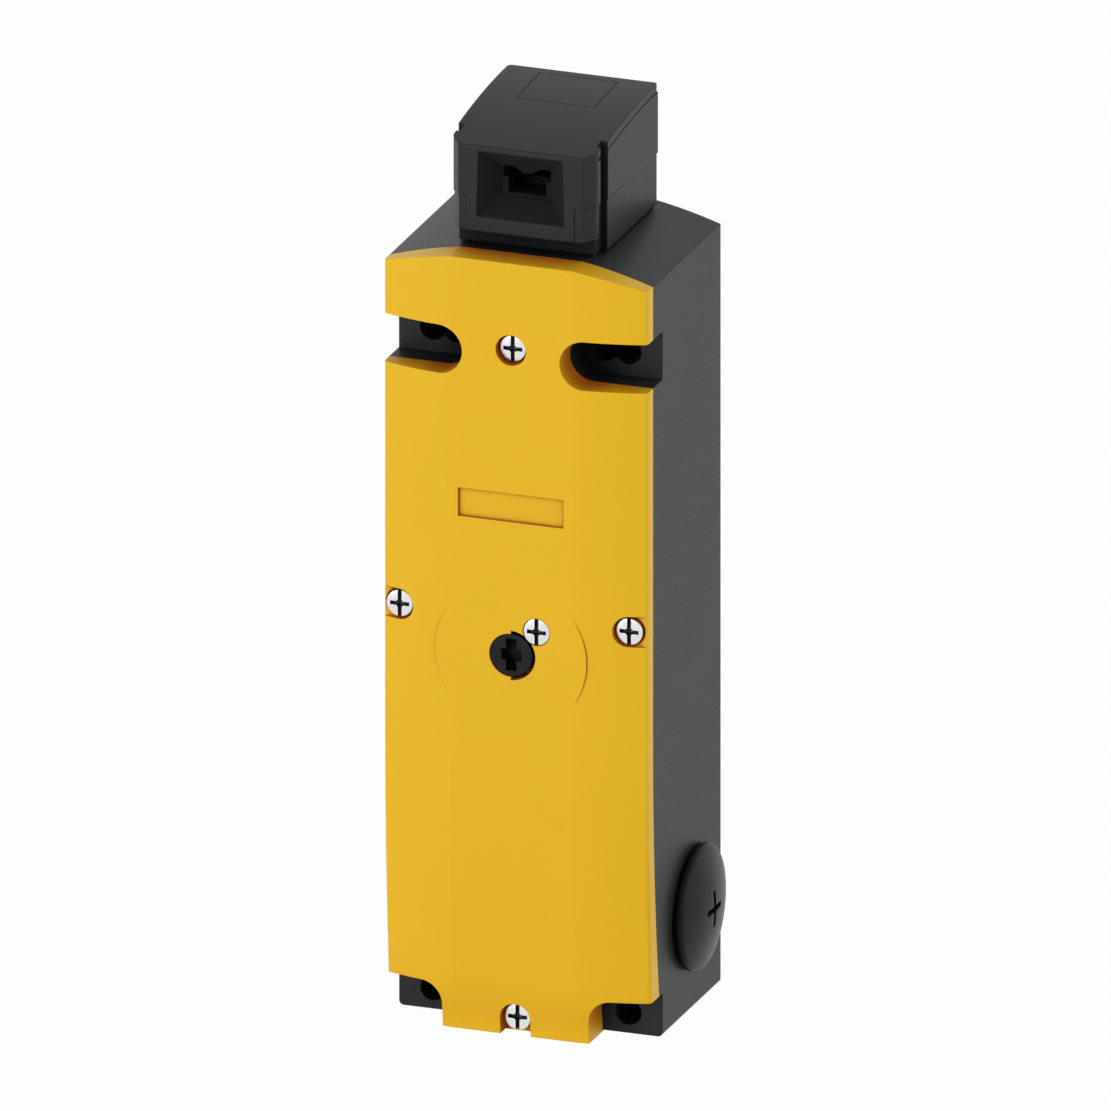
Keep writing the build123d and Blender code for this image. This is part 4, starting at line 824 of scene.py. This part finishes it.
def coil_tree(name, finish):
    """A tree that winds round wire about Z, from the floor of the coil up."""
    tree = bpy.data.node_groups.new(name, "GeometryNodeTree")
    socket(tree, "Geometry", "INPUT", "NodeSocketGeometry")
    inputs = {}
    for label, default in (
        ("Radius", 0.005), ("Height", 0.01), ("Turns", 6.0), ("Wire Radius", 0.0005),
    ):
        inputs[label] = socket(tree, label, "INPUT", "NodeSocketFloat", default).identifier
    socket(tree, "Geometry", "OUTPUT", "NodeSocketGeometry")
    nodes, links = tree.nodes, tree.links
    given = nodes.new("NodeGroupInput")
    out = nodes.new("NodeGroupOutput")
    line = nodes.new("GeometryNodeCurveSpiral")
    line.inputs["Resolution"].default_value = 40
    links.new(given.outputs["Turns"], line.inputs["Rotations"])
    links.new(given.outputs["Radius"], line.inputs["Start Radius"])
    links.new(given.outputs["Radius"], line.inputs["End Radius"])
    links.new(given.outputs["Height"], line.inputs["Height"])
    section = nodes.new("GeometryNodeCurvePrimitiveCircle")
    section.inputs["Resolution"].default_value = 10
    links.new(given.outputs["Wire Radius"], section.inputs["Radius"])
    wire = nodes.new("GeometryNodeCurveToMesh")
    wire.inputs["Fill Caps"].default_value = True
    links.new(line.outputs["Curve"], wire.inputs["Curve"])
    links.new(section.outputs["Curve"], wire.inputs["Profile Curve"])
    smooth = nodes.new("GeometryNodeSetShadeSmooth")
    links.new(wire.outputs["Mesh"], smooth.inputs["Geometry"])
    real = nodes.new("GeometryNodeRealizeInstances")
    links.new(smooth.outputs["Geometry"], real.inputs["Geometry"])
    coat = nodes.new("GeometryNodeSetMaterial")
    coat.inputs["Material"].default_value = material_for(finish)
    links.new(real.outputs["Geometry"], coat.inputs["Geometry"])
    links.new(coat.outputs["Geometry"], out.inputs["Geometry"])
    return tree, inputs


def wound_coil(name, finish, foot, radius, height, turns, wire_radius):
    """Plain mesh of a coil of round wire that stands on a point and winds about Z."""
    mesh = bpy.data.meshes.new(name + "_carrier")
    mesh.from_pydata([(0, 0, 0)], [], [])
    carrier = linked(name + "_carrier", mesh)
    winding = carrier.modifiers.new("winding", "NODES")
    tree, inputs = coil_tree(name + " winding", finish)
    winding.node_group = tree
    for label, value in (
        ("Radius", radius), ("Height", height), ("Turns", turns), ("Wire Radius", wire_radius),
    ):
        winding[inputs[label]] = float(value)
    made = baked_copy(carrier, name)
    discard(carrier)
    made.data.transform(Matrix.Translation(foot))
    made.data.materials.clear()
    made.data.materials.append(material_for(finish))
    faced_outwards(made.data)
    return made


def faced_outwards(mesh):
    """Merges doubles and turns every face outwards."""
    build = bmesh.new()
    build.from_mesh(mesh)
    bmesh.ops.remove_doubles(build, verts=build.verts, dist=1e-7)
    bmesh.ops.recalc_face_normals(build, faces=build.faces)
    build.to_mesh(mesh)
    build.free()


class SWITCH_OT_cover_screws(bpy.types.Operator):
    """Sets the four cheese-head screws that hold the cover."""

    bl_idname = "switch.cover_screws"
    bl_label = "Cover screws"

    def execute(self, context):
        sizes = context.scene.switch_sizes
        seats, lengths = zip(*(screw_seat(node, sizes) for node in COVER_SCREWS))
        form = screw_form("screw_form", sizes, lengths[-1])
        screws = placed_copies("cover_screws", form, seats, "screw_steel")
        discard(form)
        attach(screws, "housing")
        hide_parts(*COVER_SCREWS)
        return {"FINISHED"}


class SWITCH_OT_lock_screw(bpy.types.Operator):
    """Sets the screw that blocks the auxiliary release."""

    bl_idname = "switch.lock_screw"
    bl_label = "Lock screw"

    def execute(self, context):
        sizes = context.scene.switch_sizes
        seat, length = screw_seat("lock_screw", sizes)
        form = screw_form("screw_form", sizes, length)
        screw = placed_copies("release_lock_screw", form, [seat], "screw_steel")
        discard(form)
        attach(screw, "housing")
        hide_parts("lock_screw")
        return {"FINISHED"}


# Mouldings


class SWITCH_OT_cover(bpy.types.Operator):
    """Finishes the crowned cover."""

    bl_idname = "switch.cover"
    bl_label = "Cover"

    def execute(self, context):
        dress("cover_plastic", "cover")
        return {"FINISHED"}


class SWITCH_OT_housing(bpy.types.Operator):
    """Finishes the housing."""

    bl_idname = "switch.housing"
    bl_label = "Housing"

    def execute(self, context):
        dress("housing_plastic", "housing")
        return {"FINISHED"}


class SWITCH_OT_head(bpy.types.Operator):
    """Finishes the turnable head, its hood and the cap of the top entry."""

    bl_idname = "switch.head"
    bl_label = "Head"

    def execute(self, context):
        dress("head_plastic", "head_body", "head_hood", "top_entry_cap")
        return {"FINISHED"}


def plug_form(name, sizes, flange, dome, length):
    """One blanking plug along +Z: threaded stem, flange with a soft rim, crossed dome."""
    stem, edge, rim = sizes.plug_stem, sizes.plug_edge, sizes.plug_rim
    bore, root, hollow = stem * 0.7, stem * 0.93, 5 * MM
    neck, foot, cross_depth = 1.0 * MM, 0.2 * MM, 2.0 * MM
    profile = [(0, hollow - length), (bore, hollow - length), (bore, -length),
               (stem * 0.95, -length)]
    for k in range(int((length - neck) / sizes.plug_pitch)):
        profile.append((stem, -length + (k + 0.4) * sizes.plug_pitch))
        profile.append((root, -length + (k + 0.9) * sizes.plug_pitch))
    profile += [(root, 0), (flange - foot, 0), (flange, foot)]
    for k in range(7):
        turn = math.radians(75 * k / 6)
        profile.append((flange - edge + edge * math.cos(turn), rim - edge + edge * math.sin(turn)))
    shoulder, start = profile[-1]
    for k in range(1, 13):
        share = 1 - k / 12
        profile.append((shoulder * share, start + (dome - start) * (1 - share ** 2)))
    arm, half = sizes.plug_cross / 2, sizes.plug_cross_width / 2
    tools = [
        linked("cross_tool", prism(bar(*halves), dome - cross_depth, dome + 1 * MM))
        for halves in ((arm, half), (half, arm))
    ]
    return cut_shape(linked("plug_blank", lathe(profile, 96)), tools, name)


class SWITCH_OT_plugs(bpy.types.Operator):
    """Sets the blanking plugs of the side entries."""

    bl_idname = "switch.plugs"
    bl_label = "Entry plugs"

    def execute(self, context):
        sizes = context.scene.switch_sizes
        low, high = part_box("plug_right")
        seal_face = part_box("plug_seal_right")[1].x
        flange = (high.z - low.z) / 2
        middle_y, middle_z = (low.y + high.y) / 2, (low.z + high.z) / 2
        form = plug_form("plug_form", sizes, flange, high.x - seal_face, seal_face - low.x)
        seats = [
            ((seal_face, middle_y, middle_z), (0, math.radians(90), 0)),
            ((-seal_face, middle_y, middle_z), (0, math.radians(-90), 0)),
        ]
        plugs = placed_copies("entry_plugs", form, seats, "plug_plastic")
        discard(form)
        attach(plugs, "housing")
        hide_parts("plug_right", "plug_left")
        return {"FINISHED"}


class SWITCH_OT_release(bpy.types.Operator):
    """Finishes the disc of the auxiliary release."""

    bl_idname = "switch.release"
    bl_label = "Release disc"

    def execute(self, context):
        dress("release_plastic", "release_disc")
        dress("spring_steel", "release_clip")
        return {"FINISHED"}


class SWITCH_OT_seals(bpy.types.Operator):
    """Finishes the gasket and the sealing rings."""

    bl_idname = "switch.seals"
    bl_label = "Seals"

    def execute(self, context):
        dress("seal_rubber", "cover_gasket", "release_seal", "plug_seal_right",
              "plug_seal_left", "head_seal")
        return {"FINISHED"}


class SWITCH_OT_mechanism(bpy.types.Operator):
    """Finishes the parts inside the housing and the head."""

    bl_idname = "switch.mechanism"
    bl_label = "Mechanism"

    def execute(self, context):
        dress("inner_plastic", "coil_bobbin", "contact_block_lower", "contact_block_upper",
              "terminal_block", "plunger_bush", "armature_collar")
        dress("zinc_steel", "solenoid_yoke", "pole_piece", "terminal_screws", "cam_axle",
              "plunger", "armature")
        dress("spring_steel", "head_ring")
        dress("cam_steel", "cam_wheel")
        return {"FINISHED"}


class SWITCH_OT_springs(bpy.types.Operator):
    """Winds the two compression springs."""

    bl_idname = "switch.springs"
    bl_label = "Springs"

    def execute(self, context):
        wire = context.scene.switch_sizes.spring_wire / 2
        for node, body, turns in (
            ("plunger_spring", "plunger", 6), ("armature_spring", "armature", 5),
        ):
            low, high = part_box(node)
            middle = ((low.x + high.x) / 2, (low.y + high.y) / 2)
            radius = (high.x - low.x) / 2 - wire
            spring = wound_coil(
                node + "_coil", "spring_steel", (middle[0], middle[1], low.z + wire),
                radius, high.z - low.z - 2 * wire, turns, wire,
            )
            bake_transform(spring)
            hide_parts(node)
        return {"FINISHED"}


class SWITCH_OT_winding(bpy.types.Operator):
    """Winds the outer layer of the solenoid's copper coil over its core."""

    bl_idname = "switch.winding"
    bl_label = "Coil winding"

    def execute(self, context):
        low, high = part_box("coil_winding")
        wire = context.scene.switch_sizes.coil_wire / 2
        middle = ((low.x + high.x) / 2, (low.y + high.y) / 2)
        outer = (high.x - low.x) / 2
        height = high.z - low.z
        turns = round((height - 2 * wire) / (2 * wire))
        layer = wound_coil(
            "coil_layer", "copper", (middle[0], middle[1], low.z + wire),
            outer - wire, height - 2 * wire, turns, wire,
        )
        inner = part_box("coil_bobbin")[1].x * CORE_SHARE
        under = outer - CORE_DROP * wire
        core = linked("coil_core", lathe(
            [(inner, 0), (under, 0), (under, height), (inner, height), (inner, 0)], 64))
        core.data.transform(Matrix.Translation((middle[0], middle[1], low.z)))
        faced_outwards(core.data)
        core.data.materials.append(material_for("copper"))
        smooth_faces(core.data)
        for piece in (layer, core):
            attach(piece, "housing")
            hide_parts("coil_winding")
        return {"FINISHED"}


# Stage


def area_light(name, place, size, power):
    """A soft white rectangular lamp that faces the object."""
    lamp = bpy.data.lights.new(name, "AREA")
    lamp.shape = "RECTANGLE"
    lamp.size, lamp.size_y = size
    lamp.energy = power
    made = bpy.data.objects.new(name, lamp)
    made.location = place
    made.rotation_euler = (Vector(LAMP_AIM) - Vector(place)).to_track_quat("-Z", "Y").to_euler()
    bpy.context.scene.collection.objects.link(made)


def white_for_camera(tree, surface, glow, share):
    """Mixes plain white into a surface for rays that see it, straight or in a mirror."""
    path = tree.nodes.new("ShaderNodeLightPath")
    mirrored = math_step(tree, "MAXIMUM", path.outputs["Is Glossy Ray"],
                         path.outputs["Is Transmission Ray"])
    seen = math_step(tree, "MAXIMUM", path.outputs["Is Camera Ray"], mirrored)
    white = tree.nodes.new(glow)
    white.inputs["Color"].default_value = (1, 1, 1, 1)
    white.inputs["Strength"].default_value = 1.0
    mixed = tree.nodes.new("ShaderNodeMixShader")
    tree.links.new(math_step(tree, "MULTIPLY", seen, share), mixed.inputs["Fac"])
    tree.links.new(surface.outputs[0], mixed.inputs[1])
    tree.links.new(white.outputs[0], mixed.inputs[2])
    return mixed


class SWITCH_OT_stage(bpy.types.Operator):
    """Sets the floor, the lamps, the sky and the camera."""

    bl_idname = "switch.stage"
    bl_label = "Stage"

    def execute(self, context):
        studio = context.scene.switch_studio
        self.make_floor()
        self.make_sky(context, studio)
        area_light("key_lamp", KEY_PLACE, KEY_SIZE, KEY_POWER * studio.key)
        area_light("side_lamp", FILL_PLACE, FILL_SIZE, FILL_POWER * studio.fill)
        self.make_camera(context)
        context.scene.view_settings.view_transform = "Standard"
        return {"FINISHED"}

    def make_floor(self):
        """A wide pale floor just below the object."""
        low = CAD_BOX[0][2]
        mesh = bpy.data.meshes.new("floor")
        corners = [(x, y, low) for x, y in bar(FLOOR_HALF, FLOOR_HALF)]
        mesh.from_pydata(corners, [], [(0, 1, 2, 3)])
        floor = linked("floor", mesh)
        material = bpy.data.materials.new("floor_white")
        material.use_nodes = True
        tree = material.node_tree
        tree.nodes.clear()
        out = tree.nodes.new("ShaderNodeOutputMaterial")
        matt = tree.nodes.new("ShaderNodeBsdfDiffuse")
        matt.inputs["Color"].default_value = FLOOR_COLOUR
        mixed = white_for_camera(tree, matt, "ShaderNodeEmission", FLOOR_WHITE)
        tree.links.new(mixed.outputs["Shader"], out.inputs["Surface"])
        mesh.materials.append(material)

    def make_sky(self, context, studio):
        """Even pale light from all around, plain white where it is seen or mirrored."""
        world = bpy.data.worlds.new("studio_sky")
        world.use_nodes = True
        context.scene.world = world
        tree = world.node_tree
        tree.nodes.clear()
        out = tree.nodes.new("ShaderNodeOutputWorld")
        even = tree.nodes.new("ShaderNodeBackground")
        even.inputs["Color"].default_value = (1, 1, 1, 1)
        even.inputs["Strength"].default_value = studio.sky
        mixed = white_for_camera(tree, even, "ShaderNodeBackground", 1.0)
        tree.links.new(mixed.outputs["Shader"], out.inputs["Surface"])

    def make_camera(self, context):
        """The photograph's parallel view."""
        lens = bpy.data.cameras.new("photo_camera")
        lens.type = "ORTHO"
        lens.ortho_scale = CAMERA_WIDTH
        lens.clip_end = 10
        camera = bpy.data.objects.new("photo_camera", lens)
        away = Vector((
            math.sin(CAMERA_TURN) * math.cos(CAMERA_TILT),
            -math.cos(CAMERA_TURN) * math.cos(CAMERA_TILT),
            math.sin(CAMERA_TILT),
        ))
        camera.location = CAMERA_TARGET + away * CAMERA_DISTANCE
        camera.rotation_euler = (-away).to_track_quat("-Z", "Y").to_euler()
        context.scene.collection.objects.link(camera)
        context.scene.camera = camera


# Panel and registration


class SWITCH_PT_panel(bpy.types.Panel):
    """Lists the pieces of the switch."""

    bl_idname = "SWITCH_PT_panel"
    bl_label = "Interlock switch"
    bl_space_type = "VIEW_3D"
    bl_region_type = "UI"
    bl_category = "Interlock"

    def draw(self, context):
        for group in ("switch_colours", "switch_sizes", "switch_studio"):
            settings = getattr(context.scene, group)
            box = self.layout.box()
            for name in settings.bl_rna.properties.keys():
                if name not in ("rna_type", "name"):
                    box.prop(settings, name)
        for step in STEPS:
            self.layout.operator(step.bl_idname)


STEPS = (
    SWITCH_OT_housing,
    SWITCH_OT_cover,
    SWITCH_OT_head,
    SWITCH_OT_plugs,
    SWITCH_OT_release,
    SWITCH_OT_seals,
    SWITCH_OT_mechanism,
    SWITCH_OT_springs,
    SWITCH_OT_winding,
    SWITCH_OT_cover_screws,
    SWITCH_OT_lock_screw,
    SWITCH_OT_stage,
)
CLASSES = (SwitchColours, SwitchSizes, SwitchStudio) + STEPS + (SWITCH_PT_panel,)


def register():
    """Adds the settings, the operators and the panel."""
    for kind in CLASSES:
        bpy.utils.register_class(kind)
    bpy.types.Scene.switch_colours = bpy.props.PointerProperty(type=SwitchColours)
    bpy.types.Scene.switch_sizes = bpy.props.PointerProperty(type=SwitchSizes)
    bpy.types.Scene.switch_studio = bpy.props.PointerProperty(type=SwitchStudio)


def unregister():
    """Takes the settings, the operators and the panel away."""
    del bpy.types.Scene.switch_studio
    del bpy.types.Scene.switch_sizes
    del bpy.types.Scene.switch_colours
    for kind in reversed(CLASSES):
        bpy.utils.unregister_class(kind)


def main():
    """Builds the whole scene."""
    register()
    for step in STEPS:
        group, name = step.bl_idname.split(".")
        getattr(getattr(bpy.ops, group), name)()


if __name__ == "__main__":
    main()
